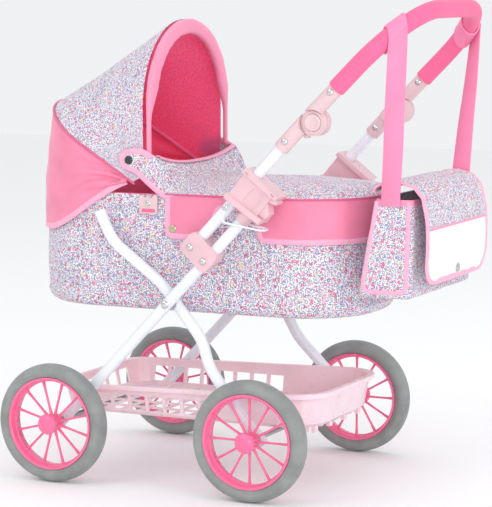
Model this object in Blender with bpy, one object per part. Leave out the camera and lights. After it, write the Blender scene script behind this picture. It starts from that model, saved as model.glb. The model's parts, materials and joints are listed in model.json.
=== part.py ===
"""Doll stroller: an X-frame of steel tubes on four spoked wheels, with a carrycot, hood, basket, handle and bag.

Metres, +Z up. +X points to the handle end, -X to the hood end, and -Y is the pusher's left-hand side.
Every piece hangs on the empty "stroller", which stands on the floor midway between the two axles.
"""

import math

import bmesh
import bpy
from mathutils import Matrix, Quaternion, Vector

MIDDLE_X = -0.0674  # midway between the axles, measured from the middle of the whole object

# Wheels
TYRE_RADIUS = 0.085
TYRE_HALF_WIDTH = 0.0145
RIM_RADIUS = 0.0662
RIM_INNER_RADIUS = 0.0602
RIM_HALF_WIDTH = 0.0128
SPOKES = 12
SPOKE_SIZE = 0.0034
HUB_INNER_END = -0.0105
HALF_TRACK = 0.190
HALF_WHEELBASE = 0.155
AXLE_RADIUS = 0.004

# Frame tubes
TUBE_RADIUS = 0.008
TUBE_BORE = 0.0068
TUBE_SIDES = 12
SLIP = 0.0004  # clearance round a tube or a pin
ARM_Y = 0.161  # middle plane of the front legs and handle arms
REAR_LEG_Y = 0.1425  # at the cross pivot; the legs flare out to ARM_Y at the axle
ARM_ANGLE = math.radians(46.4)
ARM_SPACING = 0.0275  # from the handle tube to the front leg that runs beside it
AXLE_TO_COUPLER = 0.3335
CROSS_BELOW_COUPLER = 0.0885
LEG_END = 0.012  # how far a leg runs past its axle
FRONT_LEG_TOP = 0.125
PIN_SHANK = 0.0030
PIN_HOLE = PIN_SHANK + SLIP
RIVET_SHANK = 0.0020
RIVET_HOLE = RIVET_SHANK + SLIP

# Handle
BAIL_U = 0.080
BAIL_REACH = 0.0128  # from the arm's middle plane to each side wire
HANDLE_TUBE_START = -0.0075
HANDLE_TUBE_END = 0.214
EAR_RIVET_U = 0.2075
KNOB_U = 0.2531
KNOB_V = 0.0098  # the joint's axis lies below the tubes' middle line
HANDLE_ANGLE = math.radians(45.0)  # above the knob
BOW_RIVET_U = 0.3030
BOW_START = 0.288
GRIP_START = 0.3095
BOW_U = 0.457
BOW_CORNER = 0.105
GRIP_RADIUS = 0.0125
KNOB_RADIUS = 0.0186
KNOB_RING_RADIUS = 0.0156
BUTTON_RADIUS = 0.0118
SLEEVE_RADIUS = 0.0108

# Carrycot
COT_FRONT = -0.2475
COT_REAR = 0.272
COT_HALF_WIDTH = 0.1265
COT_FRONT_CORNER = 0.120
COT_REAR_CORNER = 0.100
COT_FLOOR = 0.246
COT_RIM = 0.412
COVER_GAP = 0.0005
CURTAIN_GAP = 0.0018
CLOTH = 0.0022
COVER_FRONT = -0.0245
SKIRT_FRONT = -0.005
SKIRT_HEM = 0.350

# Hood
HOOD_HINGE = (-0.042, 0.4165)
HOOD_HALF_WIDTH = 0.1262
HOOD_STRAIGHT = 0.115
HOOD_HEIGHT = 0.240
BACK_BOW_HEIGHT = 0.226
HOOD_FOLD_ANGLE = math.radians(58)
RIM_DEPTH = 0.022
RIM_THICKNESS = 0.014

# Basket
BASKET_FRONT = -0.186
BASKET_REAR = 0.222
BASKET_HALF_WIDTH = 0.121
BASKET_FLOOR = 0.0902
BASKET_RIM = 0.131

# Bag
BAG_HALF_WIDTH = 0.120
BAG_FLOOR = 0.283
BAG_TOP = 0.418
FLAP_HINGE = (0.3085, 0.4335)
FLAP_HALF_WIDTH = 0.1185
STRAP_WIDTH = 0.027
STRAP_THICKNESS = 0.002
STRAP_U = 0.4145
STRAP_END = 0.409  # height of the sewn end
STRAP_TWIST = math.radians(40)  # turn of the band between the bag and the grip
STRAP_SLANT = 0.84  # the strap's width over the length of grip that it covers
STRAP_FEET = {"left": 0.3325, "right": 0.3420}

SIDES = (("left", -1), ("right", 1))


# Scene helpers


def clear_scene():
    for obj in list(bpy.data.objects):
        bpy.data.objects.remove(obj, do_unlink=True)


def make_material(name, colour, roughness, metallic=0.0):
    made = bpy.data.materials.new(name)
    made.use_nodes = True
    shader = made.node_tree.nodes["Principled BSDF"]
    shader.inputs["Base Color"].default_value = (*colour, 1)
    shader.inputs["Roughness"].default_value = roughness
    shader.inputs["Metallic"].default_value = metallic
    made.diffuse_color = (*colour, 1)
    return made


def make_materials():
    return {
        "steel": make_material("painted_tube", (0.80, 0.82, 0.88), 0.30),
        "chrome": make_material("chrome", (0.75, 0.75, 0.76), 0.18, 1.0),
        "axle": make_material("axle_steel", (0.55, 0.56, 0.58), 0.35, 1.0),
        "pink_plastic": make_material("pink_plastic", (0.83, 0.55, 0.58), 0.45),
        "dusty_plastic": make_material("dusty_plastic", (0.71, 0.50, 0.53), 0.50),
        "basket": make_material("basket_plastic", (0.86, 0.62, 0.66), 0.40),
        "wheel": make_material("wheel_plastic", (0.90, 0.13, 0.32), 0.35),
        "tyre": make_material("tyre_foam", (0.34, 0.36, 0.34), 0.85),
        "grip": make_material("grip_foam", (0.90, 0.20, 0.38), 0.80),
        "floral": make_material("floral_cloth", (0.72, 0.68, 0.72), 0.90),
        "pink_cloth": make_material("pink_cloth", (0.90, 0.25, 0.42), 0.85),
        "black": make_material("black_snap", (0.03, 0.03, 0.03), 0.35),
        "snap": make_material("metal_snap", (0.62, 0.58, 0.48), 0.30, 1.0),
    }


def add(name, shape, material, parent, pivot=(0, 0, 0)):
    """Makes an object of a bmesh. Its origin goes to pivot, and its shape stays where it was."""
    mesh = bpy.data.meshes.new(name)
    bmesh.ops.recalc_face_normals(shape, faces=shape.faces)
    shape.to_mesh(mesh)
    shape.free()
    mesh.transform(Matrix.Translation(-Vector(pivot)))
    mesh.shade_smooth()
    mesh.set_sharp_from_angle(angle=math.radians(35))
    mesh.materials.append(material)
    return add_mesh(name, mesh, parent, pivot)


def add_mesh(name, mesh, parent, location=(0, 0, 0)):
    obj = bpy.data.objects.new(name, mesh)
    bpy.context.scene.collection.objects.link(obj)
    obj.parent = parent
    obj.location = location
    return obj


def combine(obj, shape, operation):
    """Joins a shape to an object, or cuts it out, with a hidden helper."""
    helper = add(obj.name + "_helper", shape, obj.data.materials[0], obj.parent)
    helper.hide_render = True
    helper.display_type = "WIRE"
    boolean = obj.modifiers.new(operation.lower(), "BOOLEAN")
    boolean.operation = operation
    boolean.object = helper


def join(obj, shape):
    combine(obj, shape, "UNION")


def cut(obj, shape):
    combine(obj, shape, "DIFFERENCE")


def finished_mesh(obj):
    """The object's mesh with its modifiers applied, so that copies can share it. The object is removed."""
    graph = bpy.context.evaluated_depsgraph_get()
    mesh = bpy.data.meshes.new_from_object(obj.evaluated_get(graph))
    for modifier in obj.modifiers:
        bpy.data.objects.remove(modifier.object, do_unlink=True)
    bpy.data.objects.remove(obj, do_unlink=True)
    return mesh


# Shape helpers. Each returns a bmesh.


def loft(rings, closed=False):
    """A skin through rings of points. closed joins the last ring to the first, else both ends are capped."""
    shape = bmesh.new()
    loops = [[shape.verts.new(point) for point in ring] for ring in rings]
    pairs = list(zip(loops, loops[1:]))
    if closed:
        pairs.append((loops[-1], loops[0]))
    for first, second in pairs:
        for i in range(len(first)):
            j = (i + 1) % len(first)
            shape.faces.new((first[i], first[j], second[j], second[i]))
    if not closed:
        shape.faces.new(loops[0])
        shape.faces.new(loops[-1])
    return shape


def merged(shapes):
    """Several separate shapes in one bmesh."""
    whole = bmesh.new()
    for shape in shapes:
        bmesh.ops.recalc_face_normals(shape, faces=shape.faces)
        mesh = bpy.data.meshes.new("merged")
        shape.to_mesh(mesh)
        shape.free()
        whole.from_mesh(mesh)
        bpy.data.meshes.remove(mesh)
    return whole


def box(low, high):
    rings = [
        [(low[0], low[1], z), (high[0], low[1], z), (high[0], high[1], z), (low[0], high[1], z)]
        for z in (low[2], high[2])
    ]
    return loft(rings)


def turned(profile, axis, centre, steps, closed=True, start=-90.0):
    """Turns (along, radius) points about a row axis through centre."""
    rings = []
    for k in range(steps):
        angle = math.radians(start) + math.tau * k / steps
        across = (math.cos(angle), math.sin(angle))
        ring = []
        for along, radius in profile:
            offset = [across[0] * radius, across[1] * radius]
            offset.insert(axis, along)
            ring.append(Vector(centre) + Vector(offset))
        rings.append(ring)
    if closed:
        return loft(rings, closed=True)
    return loft([list(ring) for ring in zip(*rings)])


def pin(centre, profile, steps=8):
    """A solid turned about Y: profile is (along, radius) from one end to the other."""
    return turned(profile, 1, centre, steps, closed=False)


def frames_along(points, normal):
    """(point, normal, binormal) at each point of a path, with no twist."""
    points = [Vector(point) for point in points]
    normal = Vector(normal)
    last = None
    found = []
    for i, point in enumerate(points):
        before = points[max(i - 1, 0)]
        after = points[min(i + 1, len(points) - 1)]
        tangent = (after - before).normalized()
        if last is not None:
            normal = last.rotation_difference(tangent) @ normal
        normal = (normal - tangent * normal.dot(tangent)).normalized()
        found.append((point, normal, tangent.cross(normal)))
        last = tangent
    return found


def swept(points, section, normal):
    """Rings of a section, given as (along normal, along binormal) points, at each point of a path."""
    return [
        [point + side * a + other * b for a, b in section]
        for point, side, other in frames_along(points, normal)
    ]


def circle(radius, sides):
    return [
        (radius * math.cos(math.tau * k / sides), radius * math.sin(math.tau * k / sides))
        for k in range(sides)
    ]


def rod(points, radius, sides, normal=(0, 1, 0)):
    return loft(swept(points, circle(radius, sides), normal))


def hollow(points, radius, bore, sides, normal=(0, 1, 0)):
    outside = swept(points, circle(radius, sides), normal)
    inside = swept(points, circle(bore, sides), normal)
    return loft(outside + inside[::-1], closed=True)


def filleted(points, radii, steps):
    """A path through corner points, with each inner corner rounded."""
    points = [Vector(point) for point in points]
    path = [points[0]]
    for before, corner, after, radius in zip(points, points[1:], points[2:], radii):
        back = (before - corner).normalized()
        on = (after - corner).normalized()
        half = back.angle(on) / 2
        centre = corner + (back + on).normalized() * radius / math.sin(half)
        start = corner + back * radius / math.tan(half) - centre
        end = corner + on * radius / math.tan(half) - centre
        axis = start.cross(end)
        turn = start.angle(end)
        path += [centre + Quaternion(axis, turn * k / steps) @ start for k in range(steps + 1)]
    path.append(points[-1])
    return path


def rounded_rectangle(front, rear, half_width, front_corner, rear_corner, steps=6):
    """Plan outline, from the rear left corner round by the right side. Points are (x, y)."""
    corners = (
        (rear - rear_corner, half_width - rear_corner, rear_corner, 0),
        (front + front_corner, half_width - front_corner, front_corner, 90),
        (front + front_corner, front_corner - half_width, front_corner, 180),
        (rear - rear_corner, rear_corner - half_width, rear_corner, 270),
    )
    outline = []
    for x, y, radius, start in corners:
        for k in range(steps + 1):
            angle = math.radians(start + 90 * k / steps)
            outline.append((x + radius * math.cos(angle), y + radius * math.sin(angle)))
    return outline


# Places on the handle arms: u runs up the arm from the coupler, v from the handle tube towards the front
# leg beside it, and out away from the object's middle plane.

ALONG = Vector((math.cos(ARM_ANGLE), 0, math.sin(ARM_ANGLE)))
ACROSS = Vector((math.sin(ARM_ANGLE), 0, -math.cos(ARM_ANGLE)))
FRONT_AXLE = Vector((-HALF_WHEELBASE, 0, TYRE_RADIUS))
REAR_AXLE = Vector((HALF_WHEELBASE, 0, TYRE_RADIUS))
COUPLER = FRONT_AXLE + ALONG * AXLE_TO_COUPLER - ACROSS * ARM_SPACING
CROSS = COUPLER + ACROSS * ARM_SPACING - ALONG * CROSS_BELOW_COUPLER
KNOB = COUPLER + ALONG * KNOB_U + ACROSS * KNOB_V
UPPER_ALONG = Vector((math.cos(HANDLE_ANGLE), 0, math.sin(HANDLE_ANGLE)))
UPPER_ACROSS = Vector((math.sin(HANDLE_ANGLE), 0, -math.cos(HANDLE_ANGLE)))
BAG_PIVOT = COUPLER + ALONG * KNOB_U + UPPER_ALONG * (BOW_U - KNOB_U)


def arm(u, v, out, side):
    place = COUPLER + ALONG * min(u, KNOB_U) + Vector((0, side * (ARM_Y + out), 0))
    if u <= KNOB_U:
        return place + ACROSS * v
    return place + UPPER_ALONG * (u - KNOB_U) + UPPER_ACROSS * v


def arm_block(outline, low, high, side):
    """An outline of (u, v) points, extruded outwards from low to high."""
    return loft([[arm(u, v, out, side) for u, v in outline] for out in (low, high)])


def arm_rod(u_start, u_end, v, radius, side):
    return rod([arm(u_start, v, 0, side), arm(u_end, v, 0, side)], radius, TUBE_SIDES)


def arm_disc(u, v, low, high, radius, side, steps=20):
    centre = arm(u, v, 0, side)
    return pin(centre, [(side * low, radius), (side * high, radius)], steps)


def rounded_block(u_low, u_high, v_low, v_high, corner, steps=4):
    """A (u, v) outline with round corners."""
    middle = (v_low + v_high) / 2
    plan = rounded_rectangle(u_low, u_high, (v_high - v_low) / 2, corner, corner, steps)
    return [(u, v + middle) for u, v in plan]


def rivet_profile(half_length, shank, head, height):
    """Domed heads on both ends of a shank."""
    end = [
        (half_length, shank),
        (half_length, head),
        (half_length + height, 0.5 * head),
    ]
    return [(-along, radius) for along, radius in reversed(end)] + end


# Wheels


def make_wheel_mesh(materials, parent):
    """A rim, spokes and a hub on a Y axis. Its outer side faces -Y."""
    rim = [
        (-RIM_HALF_WIDTH, RIM_INNER_RADIUS + 0.001),
        (-RIM_HALF_WIDTH, RIM_RADIUS),
        (RIM_HALF_WIDTH, RIM_RADIUS),
        (RIM_HALF_WIDTH, RIM_INNER_RADIUS + 0.001),
        (0.0, RIM_INNER_RADIUS),
    ]
    wheel = add("wheel", turned(rim, 1, (0, 0, 0), 24), materials["wheel"], parent)
    bars = []
    half = SPOKE_SIZE / 2
    for k in range(SPOKES):
        bar = box((0.009, -half, -half), (RIM_INNER_RADIUS + 0.003, half, half))
        bar.transform(Matrix.Rotation(math.tau * k / SPOKES, 4, "Y"))
        bars.append(bar)
    join(wheel, merged(bars))
    hub = [
        (-0.0225, 0.006),
        (-0.0210, 0.011),
        (-0.0175, 0.0142),
        (-0.0075, 0.0142),
        (-0.0065, 0.0118),
        (-HUB_INNER_END, 0.0112),
    ]
    join(wheel, pin((0, 0, 0), hub, 16))
    bore = AXLE_RADIUS + SLIP
    cut(wheel, pin((0, 0, 0), [(-0.0148, bore), (0.02, bore)], 12))
    return finished_mesh(wheel)


def tyre_profile():
    """Flat against the rim, round outside."""
    inner = RIM_RADIUS + 0.0004
    depth = TYRE_RADIUS - inner
    flat = 0.0112
    points = [(flat, inner), (-flat, inner)]
    for degrees in (-25, 10, 50, 90, 130, 170, 205):
        angle = math.radians(degrees)
        points.append((-TYRE_HALF_WIDTH * math.cos(angle), inner + depth * (0.45 + 0.55 * math.sin(angle))))
    return points


def make_wheels(materials, parent):
    wheel_mesh = make_wheel_mesh(materials, parent)
    tyre = add("tyre", turned(tyre_profile(), 1, (0, 0, 0), 36), materials["tyre"], parent)
    tyre_mesh = finished_mesh(tyre)
    for end, axle, phase in (("front", FRONT_AXLE, 15), ("rear", REAR_AXLE, 0)):
        for name, side in SIDES:
            place = axle + Vector((0, side * HALF_TRACK, 0))
            wheel = add_mesh(f"wheel_{end}_{name}", wheel_mesh, parent, place)
            wheel.rotation_euler = (0, math.radians(phase), math.pi if side > 0 else 0)
            add_mesh(f"tyre_{end}_{name}", tyre_mesh, parent, place)


# Frame


def axle_profile():
    """A rod with a collar between each leg and hub."""
    leg_face = ARM_Y + TUBE_RADIUS + 0.0005
    collar = HALF_TRACK + HUB_INNER_END - 0.0008
    end = [
        (leg_face, AXLE_RADIUS),
        (leg_face, 0.0070),
        (collar, 0.0070),
        (collar, AXLE_RADIUS),
        (HALF_TRACK + 0.0140, AXLE_RADIUS),
    ]
    return [(-along, radius) for along, radius in reversed(end)] + end


def make_axles(materials, parent):
    for name, axle in (("front_axle", FRONT_AXLE), ("rear_axle", REAR_AXLE)):
        add(name, pin(axle, axle_profile(), 16), materials["axle"], parent, axle)


def cross_hole(place, radius):
    """A short cutter along Y through a tube."""
    return pin(place, [(-0.02, radius), (0.02, radius)])


def make_front_legs(materials, parent):
    for name, side in SIDES:
        low = arm(-AXLE_TO_COUPLER - LEG_END, ARM_SPACING, 0, side)
        high = arm(FRONT_LEG_TOP, ARM_SPACING, 0, side)
        leg = add(
            f"front_leg_{name}", hollow([low, high], TUBE_RADIUS, TUBE_BORE, TUBE_SIDES), materials["steel"], parent
        )
        holes = [
            cross_hole(arm(-AXLE_TO_COUPLER, ARM_SPACING, 0, side), AXLE_RADIUS + SLIP),
            cross_hole(arm(-CROSS_BELOW_COUPLER, ARM_SPACING, 0, side), PIN_HOLE),
            cross_hole(arm(0, ARM_SPACING, 0, side), RIVET_HOLE),
        ]
        cut(leg, merged(holes))


def rear_leg_path(side):
    """From the top end down through four bends to the rear axle, flaring outwards below the cross pivot."""
    inner = Vector((0, side * REAR_LEG_Y, 0))
    outer = Vector((0, side * ARM_Y, 0))
    ankle = Vector((0.0740, 0, 0.1760))
    foot = (REAR_AXLE - ankle).normalized()
    corners = [
        Vector((-0.1030, 0, 0.3865)) + inner,
        Vector((-0.0830, 0, 0.3450)) + inner,
        Vector((-0.0030, 0, 0.2870)) + inner,
        Vector((0.0590, 0, 0.2120)) + inner,
        ankle + inner.lerp(outer, 0.45),
        ankle.lerp(REAR_AXLE, 0.5) + outer,
        REAR_AXLE + foot * LEG_END + outer,
    ]
    return filleted(corners, (0.035, 0.070, 0.060, 0.060, 0.200), 3)


def make_rear_legs(materials, parent):
    for name, side in SIDES:
        shape = hollow(rear_leg_path(side), TUBE_RADIUS, TUBE_BORE, TUBE_SIDES)
        leg = add(f"rear_leg_{name}", shape, materials["steel"], parent, CROSS)
        holes = [
            cross_hole(REAR_AXLE + Vector((0, side * ARM_Y, 0)), AXLE_RADIUS + SLIP),
            cross_hole(CROSS + Vector((0, side * REAR_LEG_Y, 0)), PIN_HOLE),
        ]
        cut(leg, merged(holes))


def make_cross_pins(materials, parent):
    """The scissor pivot: a headed pin through both tubes, with a washer between them."""
    inner = REAR_LEG_Y - TUBE_RADIUS
    outer = ARM_Y + TUBE_RADIUS
    gap_low = REAR_LEG_Y + TUBE_RADIUS
    gap_high = ARM_Y - TUBE_RADIUS
    for name, side in SIDES:
        profile = [
            (inner - 0.0028, 0.0030),
            (inner - 0.0005, 0.0055),
            (inner - 0.0005, PIN_SHANK),
            (gap_low + 0.0004, PIN_SHANK),
            (gap_low + 0.0004, 0.0095),
            (gap_high - 0.0004, 0.0095),
            (gap_high - 0.0004, PIN_SHANK),
            (outer + 0.0005, PIN_SHANK),
            (outer + 0.0005, 0.0060),
            (outer + 0.0032, 0.0035),
        ]
        shape = pin(CROSS, [(side * along, radius) for along, radius in profile], 16)
        add(f"cross_pin_{name}", shape, materials["chrome"], parent, CROSS)


def make_couplers(materials, parent):
    """The block that joins the handle tube's foot to the front leg, with its two rivets."""
    half = 0.0118
    for name, side in SIDES:
        outline = rounded_block(-0.0135, 0.0225, -0.0125, 0.0400, 0.010)
        block = add(f"coupler_{name}", arm_block(outline, -half, half, side), materials["pink_plastic"], parent)
        holes = [
            arm_rod(HANDLE_TUBE_START - 0.0004, 0.04, 0, TUBE_RADIUS + SLIP, side),
            arm_rod(-0.03, 0.04, ARM_SPACING, TUBE_RADIUS + SLIP, side),
        ]
        cut(block, merged(holes))
        rivets = [cross_hole(arm(0, v, 0, side), RIVET_HOLE) for v in (0, ARM_SPACING)]
        cut(block, merged(rivets))
        for place, v in (("handle", 0), ("leg", ARM_SPACING)):
            profile = rivet_profile(half + 0.0004, RIVET_SHANK, 0.0052, 0.0024)
            shape = pin(arm(0, v, 0, side), profile)
            add(f"coupler_rivet_{place}_{name}", shape, materials["chrome"], parent)


def make_handle_tubes(materials, parent):
    for name, side in SIDES:
        ends = [arm(HANDLE_TUBE_START, 0, 0, side), arm(HANDLE_TUBE_END, 0, 0, side)]
        tube = add(f"handle_tube_{name}", hollow(ends, TUBE_RADIUS, TUBE_BORE, TUBE_SIDES), materials["steel"], parent)
        holes = [cross_hole(arm(u, 0, 0, side), RIVET_HOLE) for u in (0, BAIL_U, EAR_RIVET_U)]
        cut(tube, merged(holes))


def make_brackets(materials, parent):
    """The cot bracket: two flanges across both tubes, a web between them and hooks on the rear side."""
    lower = [(0.0885, -0.0100), (0.0965, -0.0115), (0.1075, 0.0500), (0.0995, 0.0515)]
    upper = [(0.1345, -0.0150), (0.1415, -0.0150), (0.1475, 0.0470), (0.1405, 0.0470)]
    web = [(0.0920, -0.0105), (0.1380, -0.0125), (0.1380, 0.0390), (0.1000, 0.0415)]
    stem = [(0.0790, 0.0168), (0.1000, 0.0168), (0.1000, 0.0385), (0.0790, 0.0385)]
    hooks = [
        [(0.1060, 0.0380), (0.1300, 0.0380), (0.1180, 0.0520), (0.1090, 0.0520)],
        [(0.1300, 0.0380), (0.1400, 0.0380), (0.1400, 0.0500), (0.1345, 0.0500)],
    ]
    for name, side in SIDES:
        bracket = add(
            f"cot_bracket_{name}", arm_block(lower, -0.0165, 0.0165, side), materials["pink_plastic"], parent
        )
        join(bracket, arm_block(upper, -0.0165, 0.0165, side))
        join(bracket, arm_block(web, -0.0112, 0.0112, side))
        join(bracket, arm_block(stem, -0.0105, 0.0105, side))
        join(bracket, merged([arm_block(hook, -0.0090, 0.0090, side) for hook in hooks]))
        cut(bracket, arm_rod(0.07, 0.16, 0, TUBE_RADIUS + SLIP, side))
        cut(bracket, arm_rod(0.07, FRONT_LEG_TOP + 0.0005, ARM_SPACING, TUBE_RADIUS + SLIP, side))
        slots = [
            arm_block(rounded_block(u - 0.0010, u + 0.0010, v - 0.0030, v + 0.0030, 0.0008, 1), 0.0145, 0.02, side)
            for u, v in ((0.1384, -0.0080), (0.1438, 0.0395))
        ]
        cut(bracket, merged(slots))


def bail_path(side):
    """A bent wire loop: down from its rivet, out past the front leg, round behind it and back."""
    reach = BAIL_REACH
    bend = (0.0610, 0.0100)
    end = (0.0965, 0.0610)
    corners = [
        arm(BAIL_U - 0.0035, 0.0018, reach, side),
        arm(*bend, reach, side),
        arm(*end, reach, side),
        arm(*end, -reach, side),
        arm(*bend, -reach, side),
        arm(BAIL_U - 0.0035, 0.0018, -reach, side),
    ]
    return filleted(corners, (0.006, 0.008, 0.008, 0.006), 3)


def make_bails(materials, parent):
    for name, side in SIDES:
        centre = arm(BAIL_U, 0, 0, side)
        shape = rod(bail_path(side), 0.0014, 6, normal=ALONG)
        bail = add(f"bail_{name}", shape, materials["steel"], parent, centre)
        eye = [(-0.0013, 0.0026), (0.0013, 0.0026), (0.0013, 0.0052), (-0.0013, 0.0052)]
        eyes = [turned(eye, 1, arm(BAIL_U, 0, out, side), 10) for out in (BAIL_REACH, -BAIL_REACH)]
        join(bail, merged(eyes))
        profile = rivet_profile(BAIL_REACH + 0.0018, RIVET_SHANK, 0.0044, 0.0018)
        add(f"bail_rivet_{name}", pin(centre, profile), materials["chrome"], parent)


def knob_disc(low, high, radius, side, steps=24):
    return arm_disc(KNOB_U, KNOB_V, low, high, radius, side, steps)


def make_handle_joints(materials, parent):
    """The adjustable joint: a lower ear with the inner disc and a spindle, an upper ear with the outer disc, a button."""
    gap_low = -0.0062
    gap_high = -0.0058
    sweep = KNOB_RADIUS + 0.0006
    for name, side in SIDES:
        sleeve = arm_rod(0.1935, KNOB_U - 0.0040, 0, SLEEVE_RADIUS, side)
        lower = add(f"joint_lower_{name}", sleeve, materials["dusty_plastic"], parent)
        cut(lower, knob_disc(gap_low, 0.03, sweep, side))
        join(lower, knob_disc(-0.0164, gap_low, KNOB_RADIUS, side))
        tongue = rounded_block(0.2260, KNOB_U, -0.0085, 0.0160, 0.004, 2)
        join(lower, arm_block(tongue, -0.0146, gap_low - 0.0004, side))
        join(lower, knob_disc(gap_low - 0.002, -0.0020, 0.0050, side, 16))
        cut(lower, arm_rod(0.18, HANDLE_TUBE_END + 0.0005, 0, TUBE_RADIUS + SLIP, side))
        cut(lower, cross_hole(arm(EAR_RIVET_U, 0, 0, side), RIVET_HOLE))

        sleeve = arm_rod(KNOB_U + 0.0040, 0.3160, 0, SLEEVE_RADIUS, side)
        upper = add(f"joint_upper_{name}", sleeve, materials["dusty_plastic"], parent, KNOB)
        cut(upper, knob_disc(-0.03, gap_high, sweep, side))
        cut(upper, knob_disc(0.0020, 0.03, KNOB_RADIUS - 0.0004, side))
        join(upper, knob_disc(gap_high, 0.0024, KNOB_RADIUS, side))
        join(upper, knob_disc(-0.0010, 0.0043, KNOB_RING_RADIUS, side))
        cut(upper, knob_disc(-0.0015, 0.03, BUTTON_RADIUS + SLIP, side))
        cut(upper, knob_disc(-0.01, 0.0, 0.0055, side, 16))
        cut(upper, arm_rod(BOW_START - 0.0005, 0.33, 0, TUBE_RADIUS + SLIP, side))
        cut(upper, cross_hole(arm(BOW_RIVET_U, 0, 0, side), RIVET_HOLE))
        cut(upper, arm_rod(GRIP_START - 0.0005, 0.33, 0, 0.02, side))

        button = [(0.0018, 0.0040), (0.0018, BUTTON_RADIUS), (0.0068, BUTTON_RADIUS), (0.0082, 0.0102)]
        centre = arm(KNOB_U, KNOB_V, 0, side)
        shape = pin(centre, [(side * along, radius) for along, radius in button], 24)
        add(f"joint_button_{name}", shape, materials["dusty_plastic"], parent, KNOB)

        profile = rivet_profile(SLEEVE_RADIUS + 0.0004, RIVET_SHANK, 0.0048, 0.0022)
        add(f"joint_rivet_lower_{name}", pin(arm(EAR_RIVET_U, 0, 0, side), profile), materials["chrome"], parent)
        shape = pin(arm(BOW_RIVET_U, 0, 0, side), profile)
        add(f"joint_rivet_upper_{name}", shape, materials["chrome"], parent, KNOB)


def bow_path(start):
    corners = [arm(start, 0, 0, -1), arm(BOW_U, 0, 0, -1), arm(BOW_U, 0, 0, 1), arm(start, 0, 0, 1)]
    return filleted(corners, (BOW_CORNER, BOW_CORNER), 7)


def make_handle_bow(materials, parent):
    bow = add(
        "handle_bow", hollow(bow_path(BOW_START), TUBE_RADIUS, TUBE_BORE, TUBE_SIDES), materials["steel"], parent, KNOB
    )
    cut(bow, merged([cross_hole(arm(BOW_RIVET_U, 0, 0, side), RIVET_HOLE) for _, side in SIDES]))
    grip = hollow(bow_path(GRIP_START), GRIP_RADIUS, TUBE_RADIUS + SLIP, TUBE_SIDES)
    add("grip", grip, materials["grip"], parent, KNOB)


# Basket


def ease(value):
    value = min(max(value, 0.0), 1.0)
    return value * value * (3 - 2 * value)


def basket_ring(grow, height):
    """The basket's outline, grown outwards. height is above the floor, and None is the rim."""
    plan = rounded_rectangle(
        BASKET_FRONT - grow, BASKET_REAR + grow, BASKET_HALF_WIDTH + grow, 0.030, 0.055, 5
    )
    ring = []
    for x, y in plan:
        rim = BASKET_RIM + 0.009 * ease((x - 0.06) / 0.12)
        ring.append((x, y, rim + height if height <= 0 else BASKET_FLOOR + height))
    return ring


def make_basket(materials, parent):
    rings = [
        [(x, y, BASKET_FLOOR) for x, y, _ in basket_ring(-0.012, 0.001)],
        basket_ring(-0.006, 0.005),
        basket_ring(0.0, -0.006),
        basket_ring(0.006, -0.006),
        basket_ring(0.006, 0.0),
        basket_ring(-0.0022, 0.0),
        basket_ring(-0.0085, 0.006),
        basket_ring(-0.0140, 0.0024),
    ]
    basket = add("basket", loft(rings), materials["basket"], parent)
    fingers = []
    for k in range(4):
        for x, low in ((0.186, 0.0800), (0.200, 0.0815)):
            y = -0.0780 + 0.052 * k
            fingers.append(box((x, y - 0.005, low), (x + 0.006, y + 0.005, BASKET_FLOOR + 0.001)))
    join(basket, merged(fingers))
    pitch = 0.028
    windows = []
    for k in range(8):
        x = BASKET_FRONT + 0.034 + pitch * k
        windows.append(box((x, -0.2, 0.0975), (x + 0.0225, 0.2, 0.1205)))
        for row in range(5):
            y = -0.0975 + 0.0395 * row
            windows.append(box((x, y, 0.080), (x + 0.0225, y + 0.035, 0.0965)))
    for row in range(5):
        y = -0.0840 + 0.0345 * row
        windows.append(box((-0.25, y, 0.0975), (-0.170, y + 0.0290, 0.1205)))
    cut(basket, merged(windows))


# Carrycot


def cot_ring(grow, z):
    half = COT_HALF_WIDTH + grow
    front_corner = min(COT_FRONT_CORNER, half - 0.002)
    plan = rounded_rectangle(COT_FRONT - grow, COT_REAR + grow, half, front_corner, COT_REAR_CORNER, 6)
    return [(x, y, z) for x, y in plan]


def make_cot(materials, parent):
    rings = [
        cot_ring(-0.014, COT_FLOOR),
        cot_ring(-0.004, COT_FLOOR + 0.005),
        cot_ring(0.0, COT_FLOOR + 0.016),
        cot_ring(0.0, COT_RIM),
        cot_ring(-0.004, COT_RIM),
        cot_ring(-0.004, COT_FLOOR + 0.016),
        cot_ring(-0.014, COT_FLOOR + 0.004),
    ]
    add("cot_body", loft(rings), materials["floral"], parent)


def cot_half_width(x, grow):
    """Half the cot's width at x, near its rear end, grown outwards."""
    past = x - (COT_REAR - COT_REAR_CORNER)
    if past <= 0:
        return COT_HALF_WIDTH + grow
    radius = COT_REAR_CORNER + grow
    return COT_HALF_WIDTH - COT_REAR_CORNER + math.sqrt(max(radius**2 - past**2, 0))


def cover_section(x, hem, grow, lift):
    """One side of the cover's arch across the cot at x, from the left hem over the top to the right hem."""
    half = cot_half_width(x, grow)
    raised = ease((0.012 - x) / 0.036)
    edge = COT_RIM + 0.0010 + 0.052 * raised + lift
    crown = COT_RIM + 0.0200 + 0.017 * raised + lift
    points = [(x, -half, hem)]
    for k in range(9):
        y = -half + 2 * half * k / 8
        height = edge + (crown - edge) * (1 - abs(y / half) ** 2.5)
        points.append((x, y, height))
    points.append((x, half, hem))
    return points


def cover_ring(x, hem):
    outer = cover_section(x, hem, COVER_GAP + CLOTH, CLOTH)
    inner = cover_section(x, hem, COVER_GAP, 0.0)
    return outer + inner[::-1]


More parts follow.
